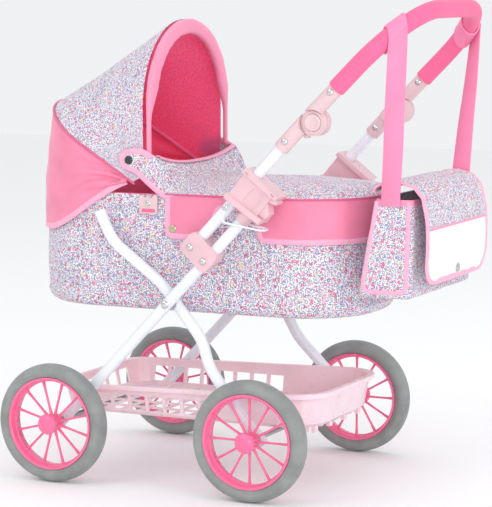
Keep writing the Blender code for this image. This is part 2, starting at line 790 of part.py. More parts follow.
def make_cover(materials, parent):
    above_rim = COT_RIM + 0.0008
    rings = [cover_ring(x, above_rim) for x in (COVER_FRONT, COVER_FRONT + 0.009, SKIRT_FRONT - 0.001)]
    for x in (SKIRT_FRONT, 0.003, 0.012, 0.060, 0.110, COT_REAR - COT_REAR_CORNER):
        rings.append(cover_ring(x, SKIRT_HEM))
    for degrees in (15, 30, 45, 58, 68, 76):
        rings.append(cover_ring(COT_REAR - COT_REAR_CORNER * (1 - math.sin(math.radians(degrees))), SKIRT_HEM))
    cover = add("cot_cover", loft(rings), materials["pink_cloth"], parent)
    last = COT_REAR - COT_REAR_CORNER * (1 - math.sin(math.radians(76)))
    back = COT_REAR + COVER_GAP
    edges = [
        [(x, y, z) for _, y, z in cover_section(last, SKIRT_HEM, COVER_GAP + CLOTH, CLOTH)]
        for x in (back, back + CLOTH)
    ]
    join(cover, loft(edges))
    sleeve_outer = [(last - 0.0004, y, z) for _, y, z in cover_section(last, SKIRT_HEM, COVER_GAP + CLOTH, CLOTH)]
    sleeve_inner = [(last - 0.0004, y, z) for _, y, z in cover_section(last, SKIRT_HEM, COVER_GAP, 0)]
    bridge = [sleeve_outer + sleeve_inner[::-1]]
    bridge.append([(back + CLOTH / 2, y, z) for _, y, z in bridge[0]])
    join(cover, loft(bridge))
    low = COT_HALF_WIDTH + COVER_GAP
    for _, side in SIDES:
        outline = [(-0.0200, 0.4150), (-0.0300, 0.4170), (-0.0480, 0.4280), (-0.0640, 0.4420)]
        outline += [
            (-0.0630 - 0.0150 * math.cos(angle), 0.4590 + 0.0150 * math.sin(angle))
            for angle in (math.radians(degrees) for degrees in (-35, 0, 35, 70))
        ]
        outline += [(-0.0450, 0.4755), (-0.0200, 0.4650)]
        tab = loft([[(x, side * (low + out), z) for x, z in outline] for out in (0.0, CLOTH)])
        join(cover, tab)


def make_cot_fittings(materials, parent):
    """Hood clips on the cot's edge, black snaps on the cover's tabs and metal snaps on its skirt."""
    for name, side in SIDES:
        low = COT_HALF_WIDTH + 0.0004
        outline = [(-0.046, 0.384), (-0.018, 0.384), (-0.018, 0.4105), (-0.046, 0.4105)]
        clip = loft([[(x, side * (low + out), z) for x, z in outline] for out in (0.0, 0.0042)])
        add(f"hood_clip_{name}", clip, materials["dusty_plastic"], parent)
        face = COT_HALF_WIDTH + COVER_GAP + CLOTH + 0.0004
        black = [(face, 0.0062), (face + 0.0016, 0.0056), (face + 0.0030, 0.0030)]
        shape = pin((-0.0630, 0, 0.4590), [(side * along, radius) for along, radius in black])
        add(f"tab_snap_{name}", shape, materials["black"], parent)
        brass = [(face, 0.0052), (face + 0.0010, 0.0050), (face + 0.0018, 0.0030)]
        shape = pin((0.0060, 0, 0.3640), [(side * along, radius) for along, radius in brass])
        add(f"skirt_snap_{name}", shape, materials["snap"], parent)


# Hood


def hood_arch(top, inset, lowest):
    """(y, height) along a hood bow, from the left hinge over the top to the right hinge."""
    half = HOOD_HALF_WIDTH - inset
    rise = top - inset - HOOD_STRAIGHT
    side = [(-half, lowest + (HOOD_STRAIGHT - lowest) * k / 3) for k in range(3)]
    arch = [
        (-half * math.cos(math.pi * k / 12), HOOD_STRAIGHT + rise * math.sin(math.pi * k / 12)) for k in range(13)
    ]
    return side + arch + [(-y, height) for y, height in reversed(side)]


def front_bow(inset, lowest, shift):
    """The upright front bow, moved along X by shift."""
    x, z = HOOD_HINGE
    return [Vector((x + shift, y, z + height)) for y, height in hood_arch(HOOD_HEIGHT, inset, lowest)]


def back_bow(angle, inset, lowest):
    """The back bow, leaning back by an angle from upright about the hood's hinge."""
    x, z = HOOD_HINGE
    return [
        Vector((x - height * math.sin(angle), y, z + height * math.cos(angle)))
        for y, height in hood_arch(BACK_BOW_HEIGHT, inset, lowest)
    ]


def make_hood(materials, parent):
    hinge = (HOOD_HINGE[0], 0, HOOD_HINGE[1])
    section = rounded_rectangle(-RIM_THICKNESS / 2, RIM_THICKNESS / 2, RIM_DEPTH / 2, 0.003, 0.003, 1)
    rim = loft(swept(front_bow(RIM_DEPTH / 2, 0.010, shift=0.008), section, (1, 0, 0)))
    add("hood_rim", rim, materials["pink_cloth"], parent, hinge)

    rings = []
    sheets = [
        (front_bow(inset, 0.020, shift=-0.0005), back_bow(HOOD_FOLD_ANGLE, inset, 0.020)) for inset in (0.0, CLOTH)
    ]
    for k in range(5):
        outer, inner = ([a.lerp(b, k / 4) for a, b in zip(front, back)] for front, back in sheets)
        rings.append(outer + inner[::-1])
    add("hood_canopy", loft(rings), materials["floral"], parent, hinge)

    bow = rod(back_bow(HOOD_FOLD_ANGLE, CLOTH + 0.0030, 0.010), 0.0024, 8, normal=(1, 0, 0))
    add("hood_back_bow", bow, materials["steel"], parent)


def curtain_hem(grow, count):
    """The curtain's lower edge: round the cot's front end, rising along its sides to the hood's hinges."""
    low_x = -0.066
    corner = COT_FRONT_CORNER + grow
    half = COT_HALF_WIDTH + grow
    front = COT_FRONT - grow
    straight = low_x - (front + corner)
    arc = corner * math.pi / 2
    flat = half - corner
    total = 2 * (straight + arc + flat)
    points = []
    for k in range(count):
        s = total * k / (count - 1)
        mirrored = s > total / 2
        s = min(s, total - s)
        if s < straight:
            x, y = low_x - s, half
        elif s < straight + arc:
            turn = (s - straight) / corner
            x, y = front + corner - corner * math.sin(turn), half - corner + corner * math.cos(turn)
        else:
            x, y = front, half - corner - (s - straight - arc)
        height = 0.352 + 0.073 * ease((x + 0.215) / 0.175) / ease((low_x + 0.215) / 0.175)
        points.append(Vector((x, y if mirrored else -y, height)))
    return points


def make_curtain(materials, parent):
    """The cloth from the back bow down over the outside of the cot's front end."""
    outer_top = back_bow(HOOD_FOLD_ANGLE + math.radians(1.2), 0.0, 0.030)
    inner_top = back_bow(HOOD_FOLD_ANGLE + math.radians(1.2), CLOTH, 0.030)
    outer_hem = curtain_hem(CURTAIN_GAP + CLOTH, len(outer_top))
    inner_hem = curtain_hem(CURTAIN_GAP, len(inner_top))
    rings = []
    for k in range(7):
        t = k / 6
        out = min(1.0, t / 0.5)
        ring = []
        for top, hem in ((outer_top, outer_hem), (inner_top, inner_hem)):
            line = [
                Vector((a.x + (b.x - a.x) * out, a.y + (b.y - a.y) * out, a.z + (b.z - a.z) * t))
                for a, b in zip(top, hem)
            ]
            ring.append(line)
        rings.append(ring[0] + ring[1][::-1])
    add("hood_curtain", loft(rings), materials["pink_cloth"], parent)


# Bag


def bag_ring(low, high, half, z):
    return [(x, y, z) for x, y in rounded_rectangle(low, high, half, 0.008, 0.008, 3)]


def make_bag(materials, parent):
    rings = [
        bag_ring(0.2900, 0.3560, BAG_HALF_WIDTH - 0.006, BAG_FLOOR),
        bag_ring(0.2835, 0.3605, BAG_HALF_WIDTH, BAG_FLOOR + 0.006),
        bag_ring(0.3080, 0.3630, BAG_HALF_WIDTH, BAG_TOP),
        bag_ring(0.3100, 0.3610, BAG_HALF_WIDTH - 0.002, BAG_TOP),
        bag_ring(0.2855, 0.3585, BAG_HALF_WIDTH - 0.002, BAG_FLOOR + 0.006),
        bag_ring(0.2920, 0.3540, BAG_HALF_WIDTH - 0.008, BAG_FLOOR + 0.003),
    ]
    add("bag_body", loft(rings), materials["floral"], parent, BAG_PIVOT)
    x, z = FLAP_HINGE
    outside = [(x - 0.0020, z - 0.0060), (x - 0.0010, z), (x + 0.0120, z + 0.0060), (x + 0.0330, z + 0.0080)]
    outside += [(x + 0.0550, z + 0.0030), (x + 0.0680, z - 0.0120), (x + 0.0740, z - 0.0400)]
    outside += [(x + 0.0760, z - 0.0800), (x + 0.0730, z - 0.1310)]
    path = [Vector((a, 0, b)) for a, b in outside]
    section = [(0.0013, -1), (0.0013, 1), (-0.0013, 1), (-0.0013, -1)]
    rings = [
        [point + Vector((0, across * FLAP_HALF_WIDTH, 0)) + normal * depth for depth, across in section]
        for point, normal, _ in frames_along(path, (0, 0, 1))
    ]
    add("bag_flap", loft(rings), materials["floral"], parent, (x, 0, z))
    face = x + 0.0757
    metal = turned([(face, 0.0060), (face + 0.0012, 0.0056), (face + 0.0020, 0.0030)], 0, (0, 0, 0.3160), 12, False)
    add("bag_snap", metal, materials["snap"], parent, (x, 0, z))


def strap_curve(reach, side):
    """The grip's centre line under a strap, within reach of the strap's middle, round the bow's corner."""
    middle = math.asin((STRAP_U - (BOW_U - BOW_CORNER)) / BOW_CORNER)
    points = []
    for k in range(-3, 4):
        turn = middle + reach / BOW_CORNER * k / 3
        u = BOW_U - BOW_CORNER + BOW_CORNER * math.sin(turn)
        points.append(arm(u, 0, -BOW_CORNER * (1 - math.cos(turn)), side))
    return points


def strap_loop(radius, side, across):
    """Rings of the strap's loop round the grip. Its edges are upright, so each ring is a slanted cut of the grip."""
    rings = []
    for point, normal, binormal in frames_along(strap_curve(STRAP_WIDTH / 2 / STRAP_SLANT, side), (0, 0, 1)):
        along = normal.cross(binormal)
        ring = []
        for a, b in circle(radius, 14):
            out = normal * a + binormal * b
            ring.append(point + out - along * out.dot(across) / along.dot(across))
        rings.append(ring)
    return rings


def strap_ring(centre, twist, slope, side):
    """A cross section of the band: its width turned by twist, and rising across it by slope."""
    across = Vector((math.cos(twist), -side * math.sin(twist), slope)) * (STRAP_WIDTH / 2)
    through = Vector((math.sin(twist), side * math.cos(twist), 0)) * (STRAP_THICKNESS / 2)
    return [centre - across - through, centre + across - through, centre + across + through, centre - across + through]


def make_straps(materials, parent):
    """A webbing loop over the grip, with a flat band from its outer side down to the bag's end panel."""
    radius = GRIP_RADIUS + 0.0011
    half = STRAP_WIDTH / 2
    for name, side in SIDES:
        across = Vector((math.cos(STRAP_TWIST), -side * math.sin(STRAP_TWIST), 0))
        outwards = Vector((math.sin(STRAP_TWIST), side * math.cos(STRAP_TWIST), 0))
        loop = loft(strap_loop(radius + STRAP_THICKNESS, side, across))
        strap = add(f"bag_strap_{name}", loop, materials["pink_cloth"], parent, BAG_PIVOT)
        curve = strap_curve(half, side)
        slope = (curve[4] - curve[2]).z / (curve[4] - curve[2]).dot(across)
        foot = Vector((STRAP_FEET[name], side * (BAG_HALF_WIDTH + 0.0005 + STRAP_THICKNESS / 2), STRAP_END))
        knee = foot + Vector((0, 0, 0.014))
        top = curve[3] + outwards * (radius + 0.0002 + STRAP_THICKNESS / 2)
        rings = [strap_ring(foot, 0.0, 0.0, side)]
        for k in range(5):
            rings.append(strap_ring(knee.lerp(top, k / 4), STRAP_TWIST * k / 4, slope * k / 4, side))
        join(strap, loft(rings))
        cut(strap, rod(strap_curve(2 * half, side), radius, 14, (0, 0, 1)))


def main():
    clear_scene()
    stroller = bpy.data.objects.new("stroller", None)
    bpy.context.scene.collection.objects.link(stroller)
    stroller.location = (MIDDLE_X, 0, 0)
    bpy.context.view_layer.update()
    materials = make_materials()
    make_wheels(materials, stroller)
    make_axles(materials, stroller)
    make_front_legs(materials, stroller)
    make_rear_legs(materials, stroller)
    make_cross_pins(materials, stroller)
    make_couplers(materials, stroller)
    make_handle_tubes(materials, stroller)
    make_brackets(materials, stroller)
    make_bails(materials, stroller)
    make_handle_joints(materials, stroller)
    make_handle_bow(materials, stroller)
    make_basket(materials, stroller)
    make_cot(materials, stroller)
    make_cover(materials, stroller)
    make_cot_fittings(materials, stroller)
    make_hood(materials, stroller)
    make_curtain(materials, stroller)
    make_bag(materials, stroller)
    make_straps(materials, stroller)


main()
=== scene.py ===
"""Looks for the doll stroller: floral and pink cloth, foam, painted tube and moulded plastic round the CAD.

Metres, +Z up. Shapes are worked out in the chassis's own frame, whose x is zero midway between the axles, and
make() moves them into the row frame. Sides are -1 for the pusher's left and +1 for the right. The measures
that can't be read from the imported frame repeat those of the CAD.
"""

import json
import math

import bmesh
import bpy
from mathutils import Matrix, Quaternion, Vector, noise

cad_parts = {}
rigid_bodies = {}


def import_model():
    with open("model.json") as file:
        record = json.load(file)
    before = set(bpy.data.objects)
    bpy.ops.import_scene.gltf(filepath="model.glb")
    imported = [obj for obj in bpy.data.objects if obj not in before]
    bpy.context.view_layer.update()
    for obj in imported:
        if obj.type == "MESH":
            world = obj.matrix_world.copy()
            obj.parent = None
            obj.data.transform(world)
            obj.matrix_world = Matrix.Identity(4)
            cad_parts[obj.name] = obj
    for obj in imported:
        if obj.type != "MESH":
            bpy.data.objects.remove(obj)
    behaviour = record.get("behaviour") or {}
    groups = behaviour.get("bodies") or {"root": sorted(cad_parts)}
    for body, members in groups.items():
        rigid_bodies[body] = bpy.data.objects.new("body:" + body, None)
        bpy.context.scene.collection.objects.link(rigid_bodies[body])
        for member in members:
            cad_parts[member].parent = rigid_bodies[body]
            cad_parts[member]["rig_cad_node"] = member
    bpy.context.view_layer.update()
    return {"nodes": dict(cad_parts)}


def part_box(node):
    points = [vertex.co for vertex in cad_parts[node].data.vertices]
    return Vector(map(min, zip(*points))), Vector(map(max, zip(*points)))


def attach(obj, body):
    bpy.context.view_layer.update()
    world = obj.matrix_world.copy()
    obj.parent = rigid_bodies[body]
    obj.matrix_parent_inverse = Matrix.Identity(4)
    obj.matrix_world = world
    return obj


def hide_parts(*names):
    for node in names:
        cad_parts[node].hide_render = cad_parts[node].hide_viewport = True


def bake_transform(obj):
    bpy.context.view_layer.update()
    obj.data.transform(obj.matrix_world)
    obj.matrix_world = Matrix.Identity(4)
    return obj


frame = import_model()


def centre_of(node):
    low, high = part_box(node)
    return (Vector(low) + Vector(high)) / 2


def size_of(node):
    low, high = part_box(node)
    return Vector(high) - Vector(low)


# Driving dimensions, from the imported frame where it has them
FRONT_AXLE = centre_of("front_axle")
REAR_AXLE = centre_of("rear_axle")
MIDDLE = Vector(((FRONT_AXLE.x + REAR_AXLE.x) / 2, 0, 0))
FRONT_AXLE -= MIDDLE
REAR_AXLE -= MIDDLE
TYRE_RADIUS = size_of("tyre_front_left").z / 2
TYRE_HALF_WIDTH = size_of("tyre_front_left").y / 2
RIM_RADIUS = size_of("wheel_front_left").z / 2
HALF_TRACK = -centre_of("tyre_front_left").y
SPOKES = 12

TUBE_RADIUS = size_of("front_leg_left").y / 2
TUBE_BORE = 0.0066
SOCKET_GAP = 0.0003
ARM_Y = -centre_of("front_leg_left").y
REAR_LEG_Y = TUBE_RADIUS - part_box("rear_leg_left")[1][1]
ARM_ANGLE = math.radians(46.4)
HANDLE_ANGLE = math.radians(45.0)
ARM_SPACING = 0.0275
AXLE_TO_COUPLER = 0.3335  # along the front leg
CROSS_BELOW_COUPLER = 0.0885
LEG_END = 0.012
# u is the distance up the arm from the coupler
BAIL_U = 0.080
BAIL_REACH = 0.0128
EAR_RIVET_U = 0.2075
KNOB_U = 0.2531
KNOB_V = 0.0098
BOW_RIVET_U = 0.3030
GRIP_START = 0.3095
BOW_START = 0.288
BOW_U = 0.457
BOW_CORNER = 0.105
GRIP_RADIUS = 0.0125
GRIP_BORE = 0.0085
KNOB_RADIUS = 0.0186
KNOB_RING_RADIUS = 0.0156
BUTTON_RADIUS = 0.0118
SLEEVE_RADIUS = 0.0108

ALONG = Vector((math.cos(ARM_ANGLE), 0, math.sin(ARM_ANGLE)))
ACROSS = Vector((math.sin(ARM_ANGLE), 0, -math.cos(ARM_ANGLE)))
COUPLER = FRONT_AXLE + ALONG * AXLE_TO_COUPLER - ACROSS * ARM_SPACING
CROSS = COUPLER + ACROSS * ARM_SPACING - ALONG * CROSS_BELOW_COUPLER
UPPER_ALONG = Vector((math.cos(HANDLE_ANGLE), 0, math.sin(HANDLE_ANGLE)))
UPPER_ACROSS = Vector((math.sin(HANDLE_ANGLE), 0, -math.cos(HANDLE_ANGLE)))

SIDES = (("left", -1), ("right", 1))


# Materials


def srgb(red, green, blue):
    """A linear colour from the 0 to 255 values that a colour picker shows."""
    return tuple((value / 255 / 12.92 if value < 11 else ((value / 255 + 0.055) / 1.055) ** 2.4)
                 for value in (red, green, blue)) + (1.0,)


def shaded(colour, share):
    return tuple(channel * share for channel in colour[:3]) + (1.0,)


class Nodes:
    """Short calls for building one material's node tree."""

    def __init__(self, name):
        self.material = bpy.data.materials.new(name)
        self.material.use_nodes = True
        self.tree = self.material.node_tree
        self.shader = self.tree.nodes["Principled BSDF"]

    def node(self, kind, inputs=(), **settings):
        made = self.tree.nodes.new("ShaderNode" + kind)
        for key, value in settings.items():
            setattr(made, key, value)
        for key, value in dict(inputs).items():
            self.put(made.inputs[key], value)
        return made

    def put(self, socket, value):
        if isinstance(value, bpy.types.NodeSocket):
            self.tree.links.new(value, socket)
        else:
            socket.default_value = value

    def math(self, operation, a, b=0.0):
        return self.node("Math", {0: a, 1: b}, operation=operation).outputs[0]

    def vector(self, operation, a, b=(0, 0, 0)):
        made = self.node("VectorMath", {0: a}, operation=operation)
        if operation == "SCALE":
            self.put(made.inputs["Scale"], b)
        else:
            self.put(made.inputs[1], b)
        return made.outputs["Value" if operation in ("LENGTH", "DISTANCE") else "Vector"]

    def mix(self, factor, a, b):
        """Colours a and b mixed; 6, 7 and 2 are the Mix node's colour sockets."""
        return self.node("Mix", {0: factor, 6: a, 7: b}, data_type="RGBA").outputs[2]

    def noise(self, coordinates, scale, detail=3.0, roughness=0.5):
        inputs = {"Vector": coordinates, "Scale": scale, "Detail": detail, "Roughness": roughness}
        return self.node("TexNoise", inputs).outputs["Fac"]

    def ramp(self, factor, stops, interpolation="LINEAR"):
        made = self.node("ValToRGB", {"Fac": factor})
        ramp = made.color_ramp
        ramp.interpolation = interpolation
        while len(ramp.elements) < len(stops):
            ramp.elements.new(0.5)
        for element, (place, colour) in zip(ramp.elements, stops):
            element.position = place
            element.color = colour
        return made.outputs["Color"]

    def level(self, value, low, high, to_low=0.0, to_high=1.0):
        inputs = {0: value, 1: low, 2: high, 3: to_low, 4: to_high}
        return self.node("MapRange", inputs).outputs[0]

    def uv(self):
        return self.node("TexCoord").outputs["UV"]

    def object(self):
        return self.node("TexCoord").outputs["Object"]

    def bump(self, height, strength, distance, normal=None):
        inputs = {"Strength": strength, "Distance": distance, "Height": height}
        if normal is not None:
            inputs["Normal"] = normal
        return self.node("Bump", inputs).outputs["Normal"]

    def finish(self, colour, roughness, normal=None, **extra):
        self.put(self.shader.inputs["Base Color"], colour)
        self.put(self.shader.inputs["Roughness"], roughness)
        if normal is not None:
            self.put(self.shader.inputs["Normal"], normal)
        for key, value in extra.items():
            self.shader.inputs[key.replace("_", " ")].default_value = value
        return self.material


def plastic(name, colour, roughness, grain=900.0, depth=0.00004, **extra):
    """Moulded plastic: a little colour drift, a fine grain and rubbed patches."""
    made = Nodes(name)
    place = made.object()
    base = made.mix(made.level(made.noise(place, 22.0), 0.3, 0.7), shaded(colour, 0.90), colour)
    rough = made.level(made.noise(place, 60.0, 4.0), 0.3, 0.7, roughness - 0.05, roughness + 0.08)
    return made.finish(base, rough, made.bump(made.noise(place, grain, 2.0), 0.4, depth), **extra)


CELLS_PER_METRE = 700.0


def foam(name, colour, speckle, depth):
    """Closed-cell foam: fine pits and scattered darker cells."""
    made = Nodes(name)
    place = made.object()
    cells = made.node("TexVoronoi", {"Vector": place, "Scale": CELLS_PER_METRE}).outputs["Distance"]
    patches = made.noise(place, 40.0, 4.0)
    darker = shaded(colour, speckle)
    base = made.mix(made.level(patches, 0.35, 0.7), colour, darker)
    base = made.mix(made.math("MULTIPLY", made.level(cells, 0.1, 0.5), 0.25), base, darker)
    height = made.math("ADD", cells, made.math("MULTIPLY", patches, 0.6))
    return made.finish(base, 0.82, made.bump(height, 0.5, depth), Sheen_Weight=0.15)


THREAD_PITCH = 0.0007
WEAVE_DEPTH = 0.00008
RIB_PITCH = 0.0009
CREASE_DEPTH = 0.0012


def weave_height(made, place, pitch):
    """Plain weave, from two crossed sets of threads in UV metres."""
    across = made.node("SeparateXYZ", {0: place})
    warp = made.math("SINE", made.math("MULTIPLY", across.outputs["X"], math.tau / pitch))
    weft = made.math("SINE", made.math("MULTIPLY", across.outputs["Y"], math.tau / pitch))
    return made.math("MULTIPLY", warp, weft)


def cloth_material(name, colour, fold=0.80, pitch=THREAD_PITCH, roughness=0.55, floral=0.0, seed=0.0,
                   **extra):
    """Plain dyed cloth, darker in its drifts by fold. floral is how strongly the outer print shows through,
    as dots of painted shadow from light shining through the cloth.
    """
    made = Nodes(name)
    place = made.uv()
    soft = made.noise(made.vector("ADD", place, (seed, seed, 0)), 14.0, 5.0)
    base = made.mix(made.level(soft, 0.3, 0.75), shaded(colour, fold), colour)
    if floral:
        # Painted shadow: darker dots for the outer print, as if the cloth were lit from behind.
        cells = made.node("TexVoronoi", {"Vector": place, "Scale": 210.0}, voronoi_dimensions="2D")
        show_through_shadow = made.level(cells.outputs["Distance"], 0.22, 0.50, floral, 0.0)
        base = made.mix(show_through_shadow, base, shaded(colour, 0.55))
    weave = made.bump(weave_height(made, place, pitch), 0.25, WEAVE_DEPTH)
    normal = made.bump(made.noise(place, 34.0, 4.0, 0.6), 0.30, CREASE_DEPTH, weave)
    return made.finish(base, roughness, normal, Sheen_Weight=0.25, Sheen_Roughness=0.4, **extra)


def flowers(made, place, scale, size, petals, seed, palette, chance):
    """One layer of small flowers: (mask, petal colour, centre mask), one flower to a cell."""
    moved = made.vector("ADD", place, (seed, seed * 1.7, 0))
    inputs = {"Vector": moved, "Scale": scale, "Randomness": 0.85}
    cells = made.node("TexVoronoi", inputs, voronoi_dimensions="2D")
    offset = made.vector("SUBTRACT", moved, cells.outputs["Position"])
    parts = made.node("SeparateXYZ", {0: offset})
    pick = made.node("SeparateColor", {0: cells.outputs["Color"]})
    angle = made.math("ARCTAN2", parts.outputs["Y"], parts.outputs["X"])
    turn = made.math("MULTIPLY", pick.outputs[1], 6.0)
    angle = made.math("ADD", made.math("MULTIPLY", angle, petals), turn)
    lobes = made.level(made.math("COSINE", angle), -1.0, 1.0, 0.62, 1.0)
    spread = made.level(pick.outputs[2], 0.0, 1.0, 0.65 * size, size)
    reach = made.math("MULTIPLY", lobes, spread)
    inside = made.math("DIVIDE", made.vector("LENGTH", offset), reach)
    present = made.math("LESS_THAN", pick.outputs[0], chance)
    mask = made.math("MULTIPLY", made.level(inside, 0.85, 1.05, 1.0, 0.0), present)
    heart = made.math("MULTIPLY", made.level(inside, 0.22, 0.38, 1.0, 0.0), present)
    tone = made.math("FRACT", made.math("MULTIPLY", pick.outputs[0], 7.31))
    return mask, made.ramp(tone, palette, "CONSTANT"), heart


def floral_material(name, seed=0.0):
    """Close-set small flowers and leaves on white cotton."""
    made = Nodes(name)
    place = made.uv()
    warp = made.node("TexNoise", {"Vector": place, "Scale": 90.0}).outputs["Color"]
    warp = made.vector("SUBTRACT", warp, (0.5, 0.5, 0.5))
    place = made.vector("ADD", place, made.vector("SCALE", warp, 0.0022))
    base = made.mix(made.level(made.noise(place, 30.0), 0.3, 0.7), srgb(224, 219, 230), srgb(240, 235, 242))
    leaves = (
        (0.00, srgb(92, 142, 138)), (0.22, srgb(128, 118, 170)), (0.45, srgb(84, 132, 158)),
        (0.62, srgb(132, 158, 108)), (0.80, srgb(104, 100, 140)),
    )
    small = (
        (0.00, srgb(206, 104, 152)), (0.24, srgb(104, 128, 180)), (0.42, srgb(226, 200, 136)),
        (0.52, srgb(158, 116, 180)), (0.76, srgb(190, 62, 116)),
    )
    large = (
        (0.00, srgb(214, 78, 138)), (0.36, srgb(230, 148, 186)), (0.56, srgb(112, 128, 190)),
        (0.74, srgb(184, 66, 126)), (0.93, srgb(232, 200, 124)),
    )
    # cells per metre, flower's radius, petals, seed, colours, share of cells filled
    layers = (
        (430.0, 0.0011, 2, 3.1 + seed, leaves, 0.90),
        (330.0, 0.0012, 2, 7.7 + seed, leaves, 0.85),
        (230.0, 0.0016, 4, 1.3 + seed, small, 0.80),
        (115.0, 0.0031, 5, 5.9 + seed, large, 0.62),
    )
    for scale, size, petals, shift, palette, chance in layers:
        mask, colour, heart = flowers(made, place, scale, size, petals, shift, palette, chance)
        base = made.mix(mask, base, colour)
        if petals >= 4:
            base = made.mix(made.math("MULTIPLY", heart, 0.8), base, srgb(250, 225, 170))
    weave = made.bump(weave_height(made, made.uv(), THREAD_PITCH), 0.22, WEAVE_DEPTH)
    normal = made.bump(made.noise(made.uv(), 30.0, 4.0, 0.6), 0.28, CREASE_DEPTH, weave)
    return made.finish(base, 0.78, normal, Sheen_Weight=0.2, Sheen_Roughness=0.5)


def tape_material(name, colour):
    """Folded bias tape: fine ribs across it, and small puckers, with painted shade in the puckers' dips."""
    made = Nodes(name)
    place = made.node("SeparateXYZ", {0: made.uv()})
    ribs = made.math("SINE", made.math("MULTIPLY", place.outputs["X"], math.tau / RIB_PITCH))
    pucker = made.noise(made.uv(), 160.0, 3.0)
    # Painted shade: the tape is darker where the pucker bump dips.
    base = made.mix(made.level(pucker, 0.3, 0.7), shaded(colour, 0.88), colour)
    height = made.math("ADD", made.math("MULTIPLY", ribs, 0.25), made.math("MULTIPLY", pucker, 1.3))
    return made.finish(base, 0.66, made.bump(height, 0.45, 0.0006), Sheen_Weight=0.25)


def metal(name, colour, roughness, brushed=False):
    """Bare metal. brushed draws its streaks out round the Y axis."""
    made = Nodes(name)
    place = made.object()
    if brushed:
        place = made.vector("MULTIPLY", place, (40.0, 900.0, 40.0))
    streaks = made.noise(place, 6.0, 4.0)
    rough = made.level(streaks, 0.3, 0.7, roughness, roughness + 0.10)
    base = made.mix(made.level(streaks, 0.2, 0.8), shaded(colour, 0.9), colour)
    return made.finish(base, rough, Metallic=1.0)


def paint_material(name, colour):
    """Powder-coated tube: faint orange peel under a glossy coat."""
    made = Nodes(name)
    place = made.object()
    base = made.mix(made.level(made.noise(place, 9.0), 0.3, 0.7), shaded(colour, 0.95), colour)
    peel = made.bump(made.noise(place, 420.0, 2.0), 0.12, 0.0002)
    rough = made.level(made.noise(place, 70.0, 5.0), 0.3, 0.8, 0.24, 0.36)
    return made.finish(base, rough, peel, Coat_Weight=0.5, Coat_Roughness=0.12)


LIT_THROUGH = {"Subsurface_Weight": 0.8, "Subsurface_Scale": 0.008}
MATERIALS = {
    "tube": paint_material("painted_tube", srgb(232, 236, 243)),
    "chrome": metal("chrome", srgb(214, 214, 216), 0.12),
    "axle": metal("axle_steel", srgb(176, 178, 182), 0.30, brushed=True),
    "bracket": plastic("bracket_plastic", srgb(228, 188, 196), 0.30, Coat_Weight=0.25),
    "joint": plastic("joint_plastic", srgb(224, 194, 198), 0.42, grain=1400.0, depth=0.00008),
    "basket": plastic("basket_plastic", srgb(252, 214, 224), 0.30, Subsurface_Weight=0.35, Coat_Weight=0.2),
    "wheel": plastic("wheel_plastic", srgb(245, 108, 155), 0.26, Coat_Weight=0.35),
    "tyre": foam("tyre_foam", srgb(150, 154, 152), 0.72, 0.0007),
    "grip": foam("grip_foam", srgb(240, 105, 152), 0.92, 0.0002),
    "floral": floral_material("floral_cotton"),
    "floral_bag": floral_material("floral_cotton_bag", 0.37),
    "pink": cloth_material("pink_cotton", srgb(248, 140, 174), seed=0.2),
    "rim": cloth_material("pink_padding", srgb(248, 150, 182), fold=0.9, seed=0.5),
    # The lining's darker dots are painted shadow of the outer print, lit through the cloth.
    "lining": cloth_material("pink_lining", srgb(255, 112, 162), fold=0.92, floral=0.40, **LIT_THROUGH),
    "inside": cloth_material("pink_inside", srgb(255, 118, 166), fold=0.9, **LIT_THROUGH),
    "strap": cloth_material("pink_strap", srgb(248, 138, 178), fold=0.86, pitch=0.0011),
    "tape": tape_material("light_pink_tape", srgb(250, 176, 204)),
    "piping": tape_material("dark_pink_piping", srgb(226, 96, 144)),
    "white": cloth_material("white_panel", srgb(240, 240, 243), fold=0.94, roughness=0.5),
    "grey": cloth_material("grey_lining", srgb(238, 234, 238), fold=0.95),
    "black": plastic("black_snap", srgb(34, 36, 36), 0.28, Coat_Weight=0.4),
    "brass": metal("brass_snap", srgb(200, 190, 160), 0.22),
    "silver": metal("silver_snap", srgb(206, 204, 196), 0.20),
}


# Mesh helpers. Rings and rows are lists of points, and (u, v) coordinates are in metres.


def smoothed(mesh, angle):
    """Smooth shading, with edges sharper than an angle in degrees left sharp."""
    mesh.shade_smooth()
    mesh.set_sharp_from_angle(angle=math.radians(angle))


def linked(name, data):
    obj = bpy.data.objects.new(name, data)
    bpy.context.scene.collection.objects.link(obj)
    return obj


def make(name, mesh, material, body, replaces=(), smooth=40.0):
    """Puts a mesh in the row frame as a piece that rides on a body."""
    mesh.transform(Matrix.Translation(MIDDLE))
    smoothed(mesh, smooth)
    for one in material if isinstance(material, (list, tuple)) else (material,):
        mesh.materials.append(MATERIALS[one])
    obj = linked(name, mesh)
    if body is not None:
        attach(obj, body)
    if replaces:
        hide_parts(*replaces)
    return obj


def stand_in(node, mesh, material, body):
    """A piece shown in place of the CAD node it is named after."""
    return make(f"{node}_visual", mesh, material, body, [node])


def applied(obj):
    """The object's mesh with its modifiers applied."""
    graph = bpy.context.evaluated_depsgraph_get()
    mesh = bpy.data.meshes.new_from_object(obj.evaluated_get(graph))
    obj.modifiers.clear()
    obj.data = mesh
    return obj


def finished(shape):
    """A mesh from a bmesh, with its faces turned outwards."""
    bmesh.ops.recalc_face_normals(shape, faces=shape.faces)
    mesh = bpy.data.meshes.new("shape")
    shape.to_mesh(mesh)
    shape.free()
    return mesh


def distances(points):
    """Running length along a row of points."""
    total = [0.0]
    for before, after in zip(points, points[1:]):
        total.append(total[-1] + (Vector(after) - Vector(before)).length)
    return total


